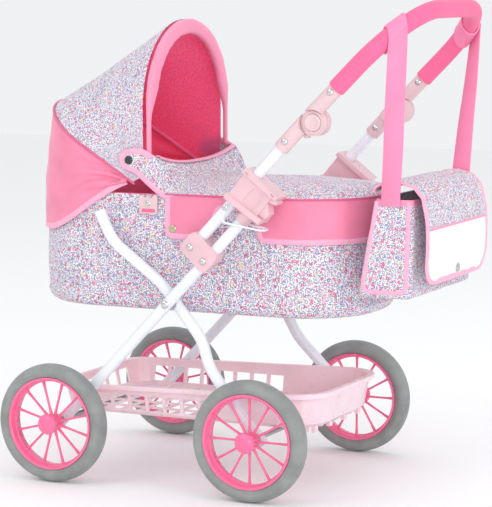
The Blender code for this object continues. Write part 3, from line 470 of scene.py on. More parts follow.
def grid_mesh(rows, closed=False, caps=False, material_of=None):
    """A sheet through rows of points, with UV in metres. closed joins each row's end to its start.

    caps closes the first and last row, and material_of(row, column) gives a face's material index.
    """
    shape = bmesh.new()
    layer = shape.loops.layers.uv.new("UVMap")
    verts = [[shape.verts.new(point) for point in row] for row in rows]
    across = [distances(list(row) + ([row[0]] if closed else [])) for row in rows]
    middle = len(rows[0]) // 2
    down = distances([row[middle] for row in rows])
    count = len(rows[0])
    for i in range(len(rows) - 1):
        for j in range(count if closed else count - 1):
            k = (j + 1) % count
            face = shape.faces.new((verts[i][j], verts[i][k], verts[i + 1][k], verts[i + 1][j]))
            if material_of:
                face.material_index = material_of(i, j)
            corners = ((i, j), (i, j + 1), (i + 1, j + 1), (i + 1, j))
            for loop, (row, column) in zip(face.loops, corners):
                loop[layer].uv = (across[row][column] - across[row][-1] / 2, down[row])
    if caps:
        for row in (verts[0], verts[-1]):
            face = shape.faces.new(row)
            for loop in face.loops:
                loop[layer].uv = (loop.vert.co.x, loop.vert.co.y)
    bmesh.ops.remove_doubles(shape, verts=shape.verts, dist=1e-6)
    return finished(shape)


def thicken(obj, thickness, inner_material):
    """Gives a sheet its thickness, half to each side, and smooths it."""
    solid = obj.modifiers.new("thickness", "SOLIDIFY")
    solid.thickness = thickness
    solid.offset = 0.0
    solid.material_offset = inner_material
    surface = obj.modifiers.new("smooth", "SUBSURF")
    surface.levels = surface.render_levels = 1
    return applied(obj)


def tangents(points):
    """The direction of a path at each of its points."""
    ends = zip([points[0]] + points[:-1], points[1:] + [points[-1]])
    return [(after - before).normalized() for before, after in ends]


def frames_along(points, normal):
    """(point, normal, binormal) along a path, turned as little as the path allows."""
    points = [Vector(point) for point in points]
    normal = Vector(normal)
    last = None
    found = []
    for point, tangent in zip(points, tangents(points)):
        if last is not None:
            normal = last.rotation_difference(tangent) @ normal
        normal = (normal - tangent * normal.dot(tangent)).normalized()
        found.append((point, normal, tangent.cross(normal)))
        last = tangent
    return found


def circle(radius, sides=32):
    turns = [math.tau * k / sides for k in range(sides)]
    return [(radius * math.cos(turn), radius * math.sin(turn)) for turn in turns]


def round_rings(found, radius, sides):
    return [[point + side * a + other * b for a, b in circle(radius, sides)] for point, side, other in found]


def tube(points, radius, sides=32, normal=(0, 1, 0)):
    """A solid tube along points, with slightly drawn-in ends."""
    found = frames_along(points, normal)
    rings = round_rings(found, radius, sides)
    first, last = ([frame[0] + (point - frame[0]) * 0.86 for point in ring]
                   for frame, ring in ((found[0], rings[0]), (found[-1], rings[-1])))
    return grid_mesh([first] + rings + [last], closed=True, caps=True)


def pipe(points, radius, bore):
    """A tube whose two ends are open to a depth of three radii."""
    found = frames_along(points, (0, 1, 0))
    rings = round_rings(found, radius, 32)
    back = round_rings(found, bore, 32)
    path = [frame[0] for frame in found]
    start = path[0] + (path[1] - path[0]).normalized() * (3 * radius)
    end = path[-1] + (path[-2] - path[-1]).normalized() * (3 * radius)
    first = [start + (point - path[0]) for point in back[0]]
    last = [end + (point - path[-1]) for point in back[-1]]
    return grid_mesh([first, back[0]] + rings + [back[-1], last], closed=True, caps=True)


def filleted(points, radii, steps):
    """A path with each inner corner rounded to its radius."""
    points = [Vector(point) for point in points]
    path = [points[0]]
    for before, corner, after, radius in zip(points, points[1:], points[2:], radii):
        back = (before - corner).normalized()
        on = (after - corner).normalized()
        half = back.angle(on) / 2
        centre = corner + (back + on).normalized() * radius / math.sin(half)
        start = corner + back * radius / math.tan(half) - centre
        end = corner + on * radius / math.tan(half) - centre
        axis = start.cross(end)
        turn = start.angle(end)
        path += [centre + Quaternion(axis, turn * k / steps) @ start for k in range(steps + 1)]
    path.append(points[-1])
    return path


def turned(profile, centre, steps=48, closed=False, axis=1):
    """Turns (along, radius) points about an axis through centre. An open profile is capped at its ends."""
    rings = []
    for along, radius in profile + ([profile[0]] if closed else []):
        ring = []
        for k in range(steps):
            angle = math.tau * k / steps - math.pi / 2
            offset = [math.cos(angle) * radius, math.sin(angle) * radius]
            offset.insert(axis, along)
            ring.append(Vector(centre) + Vector(offset))
        rings.append(ring)
    return grid_mesh(rings, closed=True, caps=not closed)


def turned_out(profile, side, centre, steps):
    """A profile turned about Y, with its along running out from the middle of the object."""
    return turned([(side * along, radius) for along, radius in profile], centre, steps)


def mirrored(profile):
    """A (along, radius) profile on both sides of zero."""
    return [(-along, radius) for along, radius in reversed(profile)] + profile


def rounded_rectangle(front, rear, half_width, front_corner, rear_corner, steps=6):
    """(x, y) points round a rectangle with round corners, from its rear edge on the +Y side."""
    corners = (
        (rear - rear_corner, half_width - rear_corner, rear_corner, 0),
        (front + front_corner, half_width - front_corner, front_corner, 90),
        (front + front_corner, front_corner - half_width, front_corner, 180),
        (rear - rear_corner, rear_corner - half_width, rear_corner, 270),
    )
    outline = []
    for x, y, radius, start in corners:
        for k in range(steps + 1):
            angle = math.radians(start + 90 * k / steps)
            outline.append((x + radius * math.cos(angle), y + radius * math.sin(angle)))
    return outline


def ease(value):
    """A smooth step from 0 to 1."""
    value = min(max(value, 0.0), 1.0)
    return value * value * (3 - 2 * value)


def joined(meshes):
    """Several meshes as one."""
    whole = bmesh.new()
    for mesh in meshes:
        whole.from_mesh(mesh)
        bpy.data.meshes.remove(mesh)
    mesh = bpy.data.meshes.new("joined")
    whole.to_mesh(mesh)
    whole.free()
    return mesh


def fused(node, adds, cuts, material, body, bevel):
    """One moulded piece: shapes joined and holes cut, with its edges rounded."""
    piece = stand_in(node, adds[0], material, body)
    helpers = []
    for operation, meshes in (("UNION", adds[1:]), ("DIFFERENCE", cuts)):
        for mesh in meshes:
            helper = linked("helper", mesh)
            mesh.transform(Matrix.Translation(MIDDLE))
            boolean = piece.modifiers.new("boolean", "BOOLEAN")
            boolean.operation = operation
            boolean.object = helper
            helpers.append(helper)
    edges = piece.modifiers.new("edges", "BEVEL")
    edges.width = bevel
    edges.segments = 3
    edges.limit_method = "ANGLE"
    edges.angle_limit = math.radians(38)
    edges.harden_normals = False
    applied(piece)
    for helper in helpers:
        bpy.data.objects.remove(helper, do_unlink=True)
    smoothed(piece.data, 50)


# Places on the handle arms: u runs up the arm from the coupler, v from the handle tube to the front leg


def arm(u, v, out, side):
    """A place on an arm, out from its middle plane. Above the knob the arm takes the handle's angle."""
    place = COUPLER + ALONG * min(u, KNOB_U) + Vector((0, side * (ARM_Y + out), 0))
    if u <= KNOB_U:
        return place + ACROSS * v
    return place + UPPER_ALONG * (u - KNOB_U) + UPPER_ACROSS * v


def arm_block(outline, low, high, side):
    """A (u, v) outline extruded out from the arm's middle plane."""
    rows = [[arm(u, v, out, side) for u, v in outline] for out in (low, high)]
    return grid_mesh(rows, closed=True, caps=True)


def rounded_block(u_low, u_high, v_low, v_high, corner, steps=8):
    middle = (v_low + v_high) / 2
    plan = rounded_rectangle(u_low, u_high, (v_high - v_low) / 2, corner, corner, steps)
    return [(u, v + middle) for u, v in plan]


def arm_rod(u_start, u_end, v, radius, side):
    found = frames_along([arm(u_start, v, 0, side), arm(u_end, v, 0, side)], (0, 1, 0))
    return grid_mesh(round_rings(found, radius, 40), closed=True, caps=True)


def socket(u_start, u_end, v, side):
    """The hole that a tube sits in."""
    return arm_rod(u_start, u_end, v, TUBE_RADIUS + SOCKET_GAP, side)


def arm_disc(u, v, low, high, radius, side, steps=56):
    return turned([(side * low, radius), (side * high, radius)], arm(u, v, 0, side), steps)


def rivet(node, centre, reach, head, height, body):
    """A rivet along Y, with a domed head of a radius and height at each end of its shank."""
    profile = [(reach, 0.0018), (reach, head), (reach + 0.15 * height, head)]
    turns = [math.radians(angle) for angle in (25, 45, 62, 76, 86)]
    profile += [(reach + height * math.sin(turn), head * math.cos(turn)) for turn in turns]
    stand_in(node, turned(mirrored(profile), centre, 24), "chrome", body)


# Wheels


def spoke(turn):
    """A moulded spoke, deeper than it is wide and thicker at both ends."""
    start, length = 0.010, 0.052
    rows = []
    for k in range(9):
        t = k / 8
        swell = 1.0 + 0.55 * (abs(2 * t - 1) ** 3)
        half_y, half_z = 0.0021 * swell, 0.0016 * swell
        angles = [math.tau * s / 12 for s in range(12)]
        rows.append([(start + length * t, half_y * math.cos(a), half_z * math.sin(a)) for a in angles])
    mesh = grid_mesh(rows, closed=True, caps=True)
    mesh.transform(Matrix.Rotation(turn, 4, "Y"))
    return mesh


def wheel_mesh(phase, side):
    """Rim, hub and spokes at the origin, turned by phase in degrees. The hub's cap faces out."""
    rim = [
        (-0.0126, 0.0632), (-0.0128, RIM_RADIUS), (0.0128, RIM_RADIUS), (0.0126, 0.0632), (0.0110, 0.0617),
        (0.0040, 0.0611), (0.0026, 0.0596), (-0.0026, 0.0596), (-0.0040, 0.0611), (-0.0110, 0.0617),
    ]
    hub = [
        (-0.0229, 0.0008), (-0.0226, 0.0042), (-0.0218, 0.0076), (-0.0206, 0.0104), (-0.0196, 0.0120),
        (-0.0192, 0.0140), (-0.0170, 0.0149), (-0.0148, 0.0142), (-0.0080, 0.0136), (-0.0060, 0.0118),
        (0.0090, 0.0113), (0.0105, 0.0105), (0.0105, 0.0044),
    ]
    parts = [turned(rim, (0, 0, 0), 96, closed=True), turned(hub, (0, 0, 0), 48)]
    parts += [spoke(math.radians(phase) + math.tau * k / SPOKES) for k in range(SPOKES)]
    mesh = joined(parts)
    if side > 0:
        mesh.transform(Matrix.Rotation(math.pi, 4, "Z"))
    return mesh


def tyre_profile():
    """Foam tyre: flat on the rim, round outside, with a faint moulding line round the middle."""
    inner = RIM_RADIUS + 0.0004
    depth = TYRE_RADIUS - inner
    points = [(0.0112, inner), (-0.0112, inner)]
    for k in range(25):
        angle = math.radians(-28 + 236 * k / 24)
        along = -TYRE_HALF_WIDTH * math.cos(angle)
        radius = inner + depth * (0.45 + 0.55 * math.sin(angle))
        points.append((along, radius - (0.0003 if k == 12 else 0.0)))
    return points


def make_wheels():
    for end, axle, phase in (("front", FRONT_AXLE, 15), ("rear", REAR_AXLE, 0)):
        for name, side in SIDES:
            place = axle + Vector((0, side * HALF_TRACK, 0))
            body = f"wheel_{end}_{name}"
            mesh = wheel_mesh(phase, side)
            mesh.transform(Matrix.Translation(place))
            stand_in(body, mesh, "wheel", body)
            tyre = turned(tyre_profile(), place, 96, closed=True)
            stand_in(f"tyre_{end}_{name}", tyre, "tyre", body)


# Frame


def rear_leg_path(side):
    """The bent leg's centre line, from its hooked top in the inner plane to the axle in the outer one."""
    inner = Vector((0, side * REAR_LEG_Y, 0))
    outer = Vector((0, side * ARM_Y, 0))
    ankle = Vector((0.0740, 0, 0.1760))
    foot = (REAR_AXLE - ankle).normalized()
    corners = [
        Vector((-0.1030, 0, 0.3865)) + inner, Vector((-0.0830, 0, 0.3450)) + inner,
        Vector((-0.0030, 0, 0.2870)) + inner, Vector((0.0590, 0, 0.2120)) + inner,
        ankle + inner.lerp(outer, 0.45), ankle.lerp(REAR_AXLE, 0.5) + outer,
        REAR_AXLE + foot * LEG_END + outer,
    ]
    return filleted(corners, (0.070, 0.140, 0.090, 0.090, 0.200), 9)


def axle_mesh(axle):
    """A rod along Y with a spacer between each leg and hub."""
    leg_face = ARM_Y + TUBE_RADIUS + 0.0005
    collar = HALF_TRACK - 0.0113
    end = [
        (leg_face, 0.0040), (leg_face, 0.0066), (leg_face + 0.0006, 0.0070), (collar - 0.0006, 0.0070),
        (collar, 0.0066), (collar, 0.0040), (HALF_TRACK + 0.0140, 0.0040),
    ]
    return turned(mirrored(end), axle, 32)


def cross_pin(side):
    """The rivet through both legs, with a spacer between them."""
    inner, outer = REAR_LEG_Y - TUBE_RADIUS, ARM_Y + TUBE_RADIUS
    low, high = REAR_LEG_Y + TUBE_RADIUS + 0.0004, ARM_Y - TUBE_RADIUS - 0.0004
    profile = [
        (inner - 0.0032, 0.0020), (inner - 0.0028, 0.0042), (inner - 0.0008, 0.0056),
        (inner - 0.0004, 0.0030), (low, 0.0030), (low, 0.0095), (high, 0.0095), (high, 0.0030),
        (outer + 0.0004, 0.0030), (outer + 0.0008, 0.0060), (outer + 0.0026, 0.0046),
        (outer + 0.0034, 0.0020),
    ]
    return turned_out(profile, side, CROSS, 32)


def make_frame():
    leg_low, leg_high = -AXLE_TO_COUPLER - LEG_END, 0.121
    tube_low, tube_high = -0.0070, 0.214
    for name, side in SIDES:
        for node, path, body in (
            ("front_leg", [arm(u, ARM_SPACING, 0, side) for u in (leg_low, leg_high)], "front_frame"),
            ("handle_tube", [arm(u, 0, 0, side) for u in (tube_low, tube_high)], "front_frame"),
            ("rear_leg", rear_leg_path(side), "rear_frame"),
        ):
            stand_in(f"{node}_{name}", pipe(path, TUBE_RADIUS, TUBE_BORE), "tube", body)
        stand_in(f"cross_pin_{name}", cross_pin(side), "chrome", "front_frame")
    for end, axle in (("front", FRONT_AXLE), ("rear", REAR_AXLE)):
        stand_in(f"{end}_axle", axle_mesh(axle), "axle", f"{end}_frame")


def make_couplers():
    half_depth = 0.0118
    for name, side in SIDES:
        outline = rounded_block(-0.0135, 0.0225, -0.0125, 0.0400, 0.010)
        adds = [arm_block(outline, -half_depth, half_depth, side)]
        cuts = [socket(-0.0079, 0.04, 0, side), socket(-0.03, 0.04, ARM_SPACING, side)]
        fused(f"coupler_{name}", adds, cuts, "bracket", "front_frame", 0.0016)
        for place, v in (("handle", 0), ("leg", ARM_SPACING)):
            rivet(f"coupler_rivet_{place}_{name}", arm(0, v, 0, side), 0.0122, 0.0050, 0.0026, "front_frame")


def make_brackets():
    """Two flanges across both tubes, a waisted web between them, a socket, and hooks on the rear side."""
    lower = [(0.0885, -0.0100), (0.0965, -0.0115), (0.1075, 0.0500), (0.0995, 0.0515)]
    upper = [(0.1345, -0.0150), (0.1415, -0.0150), (0.1475, 0.0470), (0.1405, 0.0470)]
    web = [(0.0920, -0.0095), (0.1380, -0.0125), (0.1400, 0.0390), (0.1000, 0.0415)]
    hooks = [
        [(0.1060, 0.0380), (0.1300, 0.0380), (0.1180, 0.0520), (0.1090, 0.0520)],
        [(0.1300, 0.0380), (0.1400, 0.0380), (0.1400, 0.0500), (0.1345, 0.0500)],
    ]
    half_depths = [(web, 0.0112), (lower, 0.0165), (upper, 0.0165)]
    past_face = 0.02
    for name, side in SIDES:
        adds = [arm_block(outline, -half, half, side) for outline, half in half_depths]
        adds.append(arm_rod(0.0790, 0.1000, ARM_SPACING, SLEEVE_RADIUS, side))
        adds += [arm_block(hook, -0.0090, 0.0090, side) for hook in hooks]
        cuts = [socket(0.07, 0.16, 0, side), socket(0.07, 0.1255, ARM_SPACING, side)]
        recess = rounded_block(0.1030, 0.1310, 0.0110, 0.0310, 0.006)
        cuts.append(arm_block(recess, 0.0098, past_face, side))
        for u, v in ((0.1384, -0.0080), (0.1438, 0.0395)):
            slot = rounded_block(u - 0.0010, u + 0.0010, v - 0.0030, v + 0.0030, 0.0008, 2)
            cuts.append(arm_block(slot, 0.0145, past_face, side))
        fused(f"cot_bracket_{name}", adds, cuts, "bracket", "front_frame", 0.0011)


def bail_path(side):
    """The wire's centre line, from one eye round the far end of the loop to the other eye."""
    places = [(BAIL_U - 0.0035, 0.0018), (0.0610, 0.0100), (0.0965, 0.0610)]
    corners = [arm(*place, BAIL_REACH, side) for place in places]
    corners += [arm(*place, -BAIL_REACH, side) for place in reversed(places)]
    return filleted(corners, (0.006, 0.010, 0.010, 0.006), 8)


def make_bails():
    for name, side in SIDES:
        eye = [(-0.0013, 0.0028), (-0.0013, 0.0048), (0.0, 0.0054), (0.0013, 0.0048), (0.0013, 0.0028)]
        parts = [tube(bail_path(side), 0.0015, 14, ALONG)]
        for out in (BAIL_REACH, -BAIL_REACH):
            parts.append(turned(eye, arm(BAIL_U, 0, out, side), 24, closed=True))
        stand_in(f"bail_{name}", joined(parts), "tube", f"bail_{name}")
        reach = BAIL_REACH + 0.0018
        rivet(f"bail_rivet_{name}", arm(BAIL_U, 0, 0, side), reach, 0.0043, 0.0020, "front_frame")


def carved(mesh, cutter):
    """A mesh with another cut out of it."""
    pair = [linked("carve", one) for one in (mesh, cutter)]
    boolean = pair[0].modifiers.new("boolean", "BOOLEAN")
    boolean.object = pair[1]
    result = applied(pair[0]).data.copy()
    for one in pair:
        bpy.data.objects.remove(one, do_unlink=True)
    return result


def knob_disc(low, high, radius, side):
    return arm_disc(KNOB_U, KNOB_V, low, high, radius, side, 72)


def make_handle_joints():
    """The joint on each arm: a lower ear with the inner disc, an upper ear with the outer one, a button."""
    gap_low, gap_high = -0.0062, -0.0058
    sweep = KNOB_RADIUS + 0.0006  # cut out of each sleeve, so that the other ear can turn
    for name, side in SIDES:
        sleeve = arm_rod(0.1935, KNOB_U - 0.0040, 0, SLEEVE_RADIUS, side)
        tongue = rounded_block(0.2260, KNOB_U, -0.0085, 0.0160, 0.004)
        adds = [
            carved(sleeve, knob_disc(gap_low, 0.03, sweep, side)),
            knob_disc(-0.0164, gap_low, KNOB_RADIUS, side),
            arm_block(tongue, -0.0146, gap_low - 0.0004, side),
        ]
        cuts = [socket(0.18, 0.2145, 0, side)]
        fused(f"joint_lower_{name}", adds, cuts, "joint", "front_frame", 0.0010)

        sleeve = arm_rod(KNOB_U + 0.0040, 0.3090, 0, SLEEVE_RADIUS, side)
        sleeve = carved(sleeve, knob_disc(-0.03, gap_high, sweep, side))
        adds = [carved(sleeve, knob_disc(0.0020, 0.03, KNOB_RADIUS - 0.0004, side))]
        adds += [knob_disc(gap_high, 0.0024, KNOB_RADIUS, side)]
        adds += [knob_disc(-0.0010, 0.0043, KNOB_RING_RADIUS, side)]
        cuts = [knob_disc(-0.0015, 0.03, BUTTON_RADIUS + 0.0003, side), socket(0.2875, 0.33, 0, side)]
        fused(f"joint_upper_{name}", adds, cuts, "joint", "handle", 0.0008)

        button = [(0.0018, 0.0040), (0.0018, BUTTON_RADIUS), (0.0066, BUTTON_RADIUS), (0.0074, 0.0113)]
        button += [(0.0080, 0.0104), (0.0082, 0.0094), (0.0080, 0.0086), (0.0077, 0.0080), (0.0075, 0.0030)]
        shape = turned_out(button, side, arm(KNOB_U, KNOB_V, 0, side), 56)
        stand_in(f"joint_button_{name}", shape, "joint", f"button_{name}")
        for place, u, body in (("lower", EAR_RIVET_U, "front_frame"), ("upper", BOW_RIVET_U, "handle")):
            node = f"joint_rivet_{place}_{name}"
            rivet(node, arm(u, 0, 0, side), SLEEVE_RADIUS + 0.0004, 0.0047, 0.0024, body)


def bow_path(start):
    corners = [arm(start, 0, 0, -1), arm(BOW_U, 0, 0, -1), arm(BOW_U, 0, 0, 1), arm(start, 0, 0, 1)]
    return filleted(corners, (BOW_CORNER, BOW_CORNER), 24)


def make_handle_bow():
    stand_in("handle_bow", pipe(bow_path(BOW_START), TUBE_RADIUS, TUBE_BORE), "tube", "handle")
    stand_in("grip", pipe(bow_path(GRIP_START), GRIP_RADIUS, GRIP_BORE), "grip", "handle")


# Camera, light and floor


CAMERA_PLACE = Vector((1.46975, -2.96181, 0.71677))
CAMERA_TARGET = Vector((0.059, 0, 0.318))
CAMERA_LENS = 161.9
LAMP_TARGET = Vector((0, 0, 0.35))
LAMPS = (  # name, place, size and power
    ("key", (-1.2, -2.4, 2.4), 1.8, 16.0),
    ("front", (1.6, -2.8, 0.9), 1.6, 20.0),
    ("top", (0.2, 0.6, 2.8), 2.4, 9.0),
    ("mouth", (2.6, -1.2, 1.1), 1.2, 16.0),
)
FLOOR_REACH = 6.0
FLOOR_DROP = 0.0004


def aimed(name, data, place, target):
    """A camera or lamp at a place, pointed at a target."""
    holder = linked(name, data)
    holder.location = place
    holder.rotation_euler = (target - Vector(place)).to_track_quat("-Z", "Y").to_euler()
    return holder


def make_stage():
    bpy.context.scene.view_settings.view_transform = "Standard"
    camera = bpy.data.cameras.new("camera")
    camera.lens = CAMERA_LENS
    camera.sensor_width = 36.0
    bpy.context.scene.camera = aimed("camera", camera, MIDDLE + CAMERA_PLACE, MIDDLE + CAMERA_TARGET)

    world = bpy.data.worlds.new("studio")
    world.use_nodes = True
    background = world.node_tree.nodes["Background"]
    background.inputs["Color"].default_value = (0.97, 0.98, 1.0, 1)
    background.inputs["Strength"].default_value = 0.90
    bpy.context.scene.world = world

    floor_mesh = bpy.data.meshes.new("floor")
    square = ((-1, -1), (1, -1), (1, 1), (-1, 1))
    corners = [(x * FLOOR_REACH, y * FLOOR_REACH, -FLOOR_DROP) for x, y in square]
    floor_mesh.from_pydata(corners, [], [(0, 1, 2, 3)])
    floor_mesh.materials.append(Nodes("floor_paper").finish(srgb(250, 250, 250), 0.9))
    floor = linked("floor", floor_mesh)

    for name, place, size, power in LAMPS:
        light = bpy.data.lights.new(name, "AREA")
        light.size = size
        light.energy = power
        aimed(name, light, place, LAMP_TARGET)


# Cloth helpers


def even_places(points, count):
    """(segment, share of it) for evenly spaced places along a path."""
    along = distances(points)
    step = 0
    for k in range(count):
        want = along[-1] * k / (count - 1)
        while step < len(points) - 2 and along[step + 1] < want:
            step += 1
        yield step, (want - along[step]) / (along[step + 1] - along[step])


def resampled(points, count):
    """Evenly spaced points along a path."""
    points = [Vector(point) for point in points]
    return [points[step].lerp(points[step + 1], share) for step, share in even_places(points, count)]


def resampled_directions(points, directions, count):
    """Directions at evenly spaced places along a path."""
    return [directions[step].normalized() for step, _ in even_places(points, count)]


def ripple(place, size, depth):
    """A soft wrinkle's height at a place, from -depth to depth."""
    return depth * noise.noise(Vector(place) / size)


def facing_away(mesh, inside):
    """Turns a sheet's faces away from a point."""
    total = sum((face.center - Vector(inside)).dot(face.normal) * face.area for face in mesh.polygons)
    if total < 0:
        mesh.flip_normals()
    return mesh


def cloth(name, rows, materials, body, replaces=(), inside=(0, 0, 0.4), thickness=0.0016, inner=0,
          material_of=None):
    """A sheet of cloth through rows of points on its middle surface.

    inside is a point on the sheet's inner side, whose material is inner places further on in materials.
    """
    mesh = facing_away(grid_mesh(rows, material_of=material_of), inside)
    piece = make(name, mesh, materials, body, replaces, smooth=60.0)
    thicken(piece, thickness, inner)
    smoothed(piece.data, 60)
    return piece


def binding(points, inwards, width=0.0042, depth=0.0017):
    """Bias tape folded over an edge, as a flattened oval. inwards gives each point's way into the cloth."""
    rows = []
    points = [Vector(point) for point in points]
    for point, tangent, inward in zip(points, tangents(points), inwards):
        inward = (inward - tangent * inward.dot(tangent)).normalized()
        through = tangent.cross(inward)
        centre = point + inward * (0.8 * width)
        swell = 1.0 + ripple(point, 0.006, 0.18)
        ring = []
        for a, b in circle(1.0, 14):
            flat = math.copysign(abs(a) ** 0.7, a)
            ring.append(centre + inward * (flat * width) + through * (b * depth * swell))
        rows.append(ring)
    return grid_mesh(rows, closed=True, caps=True)


def trim(name, mesh, material, body="cot"):
    """A tape, piping or row of stitches on the cloth."""
    return make(name, mesh, material, body)


def piping_along(name, points, radius):
    """A thin corded edge, in steps of about 5 mm."""
    count = max(12, int(distances(points)[-1] / 0.005))
    return trim(name, tube(resampled(points, count), radius, 10, (0.3, 0.9, 0.1)), "piping")


# Carrycot

COT_LOW, COT_HIGH = (Vector(corner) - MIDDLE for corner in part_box("cot_body"))
COT_FRONT = COT_LOW.x
COT_REAR = COT_HIGH.x
COT_HALF_WIDTH = COT_HIGH.y
COT_FLOOR = COT_LOW.z
COT_RIM = COT_HIGH.z
COT_FRONT_CORNER = 0.120
COT_REAR_CORNER = 0.100
COT_REAR_FLAT = COT_REAR - COT_REAR_CORNER  # where the rear corners start
COT_BASE = 0.0185  # height of the base's rounded edge
COVER_FRONT = -0.0245
COVER_OUT = 0.0016  # from the cot's side to the middle of the cover's cloth
COVER_OUTER = COT_HALF_WIDTH + COVER_OUT
SHIELD_START = 0.012  # the cover rises from here to the shield, over SHIELD_RUN
SHIELD_RUN = 0.036
SHIELD_STEP = 0.0046
SKIRT_FRONT = -0.0050
SKIRT_TOP = COT_RIM + 0.0005
SKIRT_HEM = 0.3510
SKIRT_NOTCH = 0.3940  # the hem's height where it is cut away under a bracket
TAB_CENTRE = (-0.0630, 0.4590)
TAB_RADIUS = 0.0150
SKIRT_SNAP = (0.0060, 0, 0.3640)
CLIP_RIVET = (-0.0320, 0, 0.3990)


def closed_plan(plan, count):
    """Evenly spaced points round a closed outline."""
    plan = [(x, y, 0) for x, y in plan]
    return resampled(plan + [plan[0]], count + 1)[:-1]


def cot_plan(grow):
    """Evenly spaced points round the cot, grown outwards."""
    half = COT_HALF_WIDTH + grow
    front_corner = min(COT_FRONT_CORNER, half - 0.002)
    plan = rounded_rectangle(COT_FRONT - grow, COT_REAR + grow, half, front_corner, COT_REAR_CORNER, 24)
    return closed_plan(plan, 150)


def cot_ring(grow, z, scale=1.0, wave=0.0):
    """A ring round the cot at a height. scale draws it in to the floor's middle, and wave makes it uneven."""
    ring = []
    for point in cot_plan(grow):
        out = 1.0 + ripple((point.x, point.y, z), 0.045, wave)
        ring.append((point.x * scale * out + 0.012 * (1 - scale), point.y * scale * out, z))
    return ring


def make_cot():
    """Floral cloth outside and pink cloth inside, on a stiff base with soft edges."""
    inwards = (0.9, 0.65, 0.35, 0.04)
    rows = [cot_ring(-0.014, COT_FLOOR + 0.0008, scale) for scale in reversed(inwards)]
    for grow, rise in (
        (-0.014, 0.0), (-0.0085, 0.0006), (-0.0045, 0.0030), (-0.0018, 0.0070), (-0.0004, 0.0120),
        (0.0004, 0.0165), (-0.0006, COT_BASE),
    ):
        rows.append(cot_ring(grow, COT_FLOOR + rise))
    steps = 14
    bulge_end = 0.62
    for k in range(1, steps):
        t = k / steps
        bulge = 0.0016 * math.sin(math.pi * min(1.0, t / bulge_end)) if t < bulge_end else 0.0
        z = COT_FLOOR + COT_BASE + (COT_RIM - COT_FLOOR - COT_BASE) * t
        rows.append(cot_ring(bulge - 0.0008, z, wave=0.005))
    outside = len(rows)
    for grow, rise in (
        (-0.0008, -0.001), (-0.0014, 0.0), (-0.0030, 0.0), (-0.0036, -0.001), (-0.0036, -0.05),
    ):
        rows.append(cot_ring(grow, COT_RIM + rise))
    for z in (0.330, 0.300, 0.275, COT_FLOOR + 0.016):
        rows.append(cot_ring(-0.0042, z, wave=0.006))
    rows.append(cot_ring(-0.014, COT_FLOOR + 0.0046))
    rows += [cot_ring(-0.014, COT_FLOOR + 0.0050, scale) for scale in inwards]
    mesh = grid_mesh(rows, closed=True, caps=True, material_of=lambda i, _: 0 if i < outside else 1)
    cot = make("cot_body_visual", mesh, ["floral", "inside"], "cot", ["cot_body"],
               smooth=60.0)


def cot_half_width(x):
    """Half the cover's width at x, less round the rear corners."""
    past = x - COT_REAR_FLAT
    if past <= 0:
        return COVER_OUTER
    radius = COT_REAR_CORNER + COVER_OUT
    return COT_HALF_WIDTH - COT_REAR_CORNER + math.sqrt(max(radius**2 - past**2, 0))


def cover_edge(x):
    """Height of the cover's edge, which climbs the shield."""
    return COT_RIM + 0.0020 + 0.052 * ease((SHIELD_START - x) / SHIELD_RUN)


def arched(y, half, power):
    """1 over the middle, falling to 0 at the sides."""
    return 1 - abs(y / half) ** power


def make_cover_top():
    """The floral top: a shallow dome, raised to a shield below the hood."""
    rows = []
    places = [COVER_FRONT + 0.0035 * k for k in range(12)] + [0.0175 + 0.0103 * k for k in range(15)]
    turns = (8, 18, 28, 38, 47, 55, 62, 68, 73, 77)
    places += [COT_REAR_FLAT + COT_REAR_CORNER * math.sin(math.radians(a)) for a in turns]
    for x in places:
        half = cot_half_width(x)
        past = max(0.0, (x - COT_REAR_FLAT) / COT_REAR_CORNER)
        edge = cover_edge(x)
        crown = COT_RIM + 0.0195 + 0.017 * ease((SHIELD_START - x) / SHIELD_RUN)
        crown = edge + (crown - edge) * math.sqrt(max(0.0, 1 - past**3))
        row = []
        for k in range(45):
            y = -half * math.cos(math.pi * k / 44)
            rise = (crown - edge) * arched(y, half, 2.5)
            rise += ripple((x, y, 0.3), 0.055, 0.0022) * arched(y, half, 4) - 0.0006
            row.append((x, y, edge + rise))
        rows.append(row)
    back = COT_REAR + COVER_OUT
    rear_half = COT_HALF_WIDTH - COT_REAR_CORNER + 0.002
    last = rows[-1]
    rows.append([(back, y * rear_half / abs(last[0][1]), COT_RIM + 0.0015) for _, y, _ in last])
    return cloth("cot_cover_visual", rows, ["floral", "inside"], "cot", ["cot_cover"],
                 inside=(0.1, 0, 0.3), inner=1)


def skirt_columns():
    """(x, y, out x, out y, hem height) round the cot from the skirt's left front edge to its right one."""
    corners = [
        (SKIRT_FRONT, 0, SKIRT_TOP), (SKIRT_FRONT, 0, SKIRT_HEM), (0.0670, 0, SKIRT_HEM),
        (0.0790, 0, SKIRT_NOTCH), (0.1270, 0, SKIRT_NOTCH), (0.1410, 0, SKIRT_HEM),
        (COT_REAR_FLAT, 0, SKIRT_HEM),
    ]
    line = filleted(corners, (0.012, 0.009, 0.008, 0.008, 0.012), 6)[1:]
    hem = [line[0]]
    for point in line[1:]:
        parts = max(1, round((point - hem[-1]).length / 0.006))
        before = hem[-1]
        hem += [before.lerp(point, k / parts) for k in range(1, parts + 1)]
    left = [(point.x, -COVER_OUTER, 0.0, -1.0, point.z) for point in hem]
    turn = []
    radius = COT_REAR_CORNER + COVER_OUT
    flat = COT_HALF_WIDTH - COT_REAR_CORNER
    for k in range(1, 25):
        angle = math.radians(90 * k / 24)
        out = (math.sin(angle), -math.cos(angle))
        turn.append((COT_REAR_FLAT + radius * out[0], -flat + radius * out[1], *out, SKIRT_HEM))
    whole = left + turn + [(COT_REAR + COVER_OUT, 0.0, 1.0, 0.0, SKIRT_HEM)]
    return whole + [(x, -y, a, -b, z) for x, y, a, b, z in reversed(left + turn)]


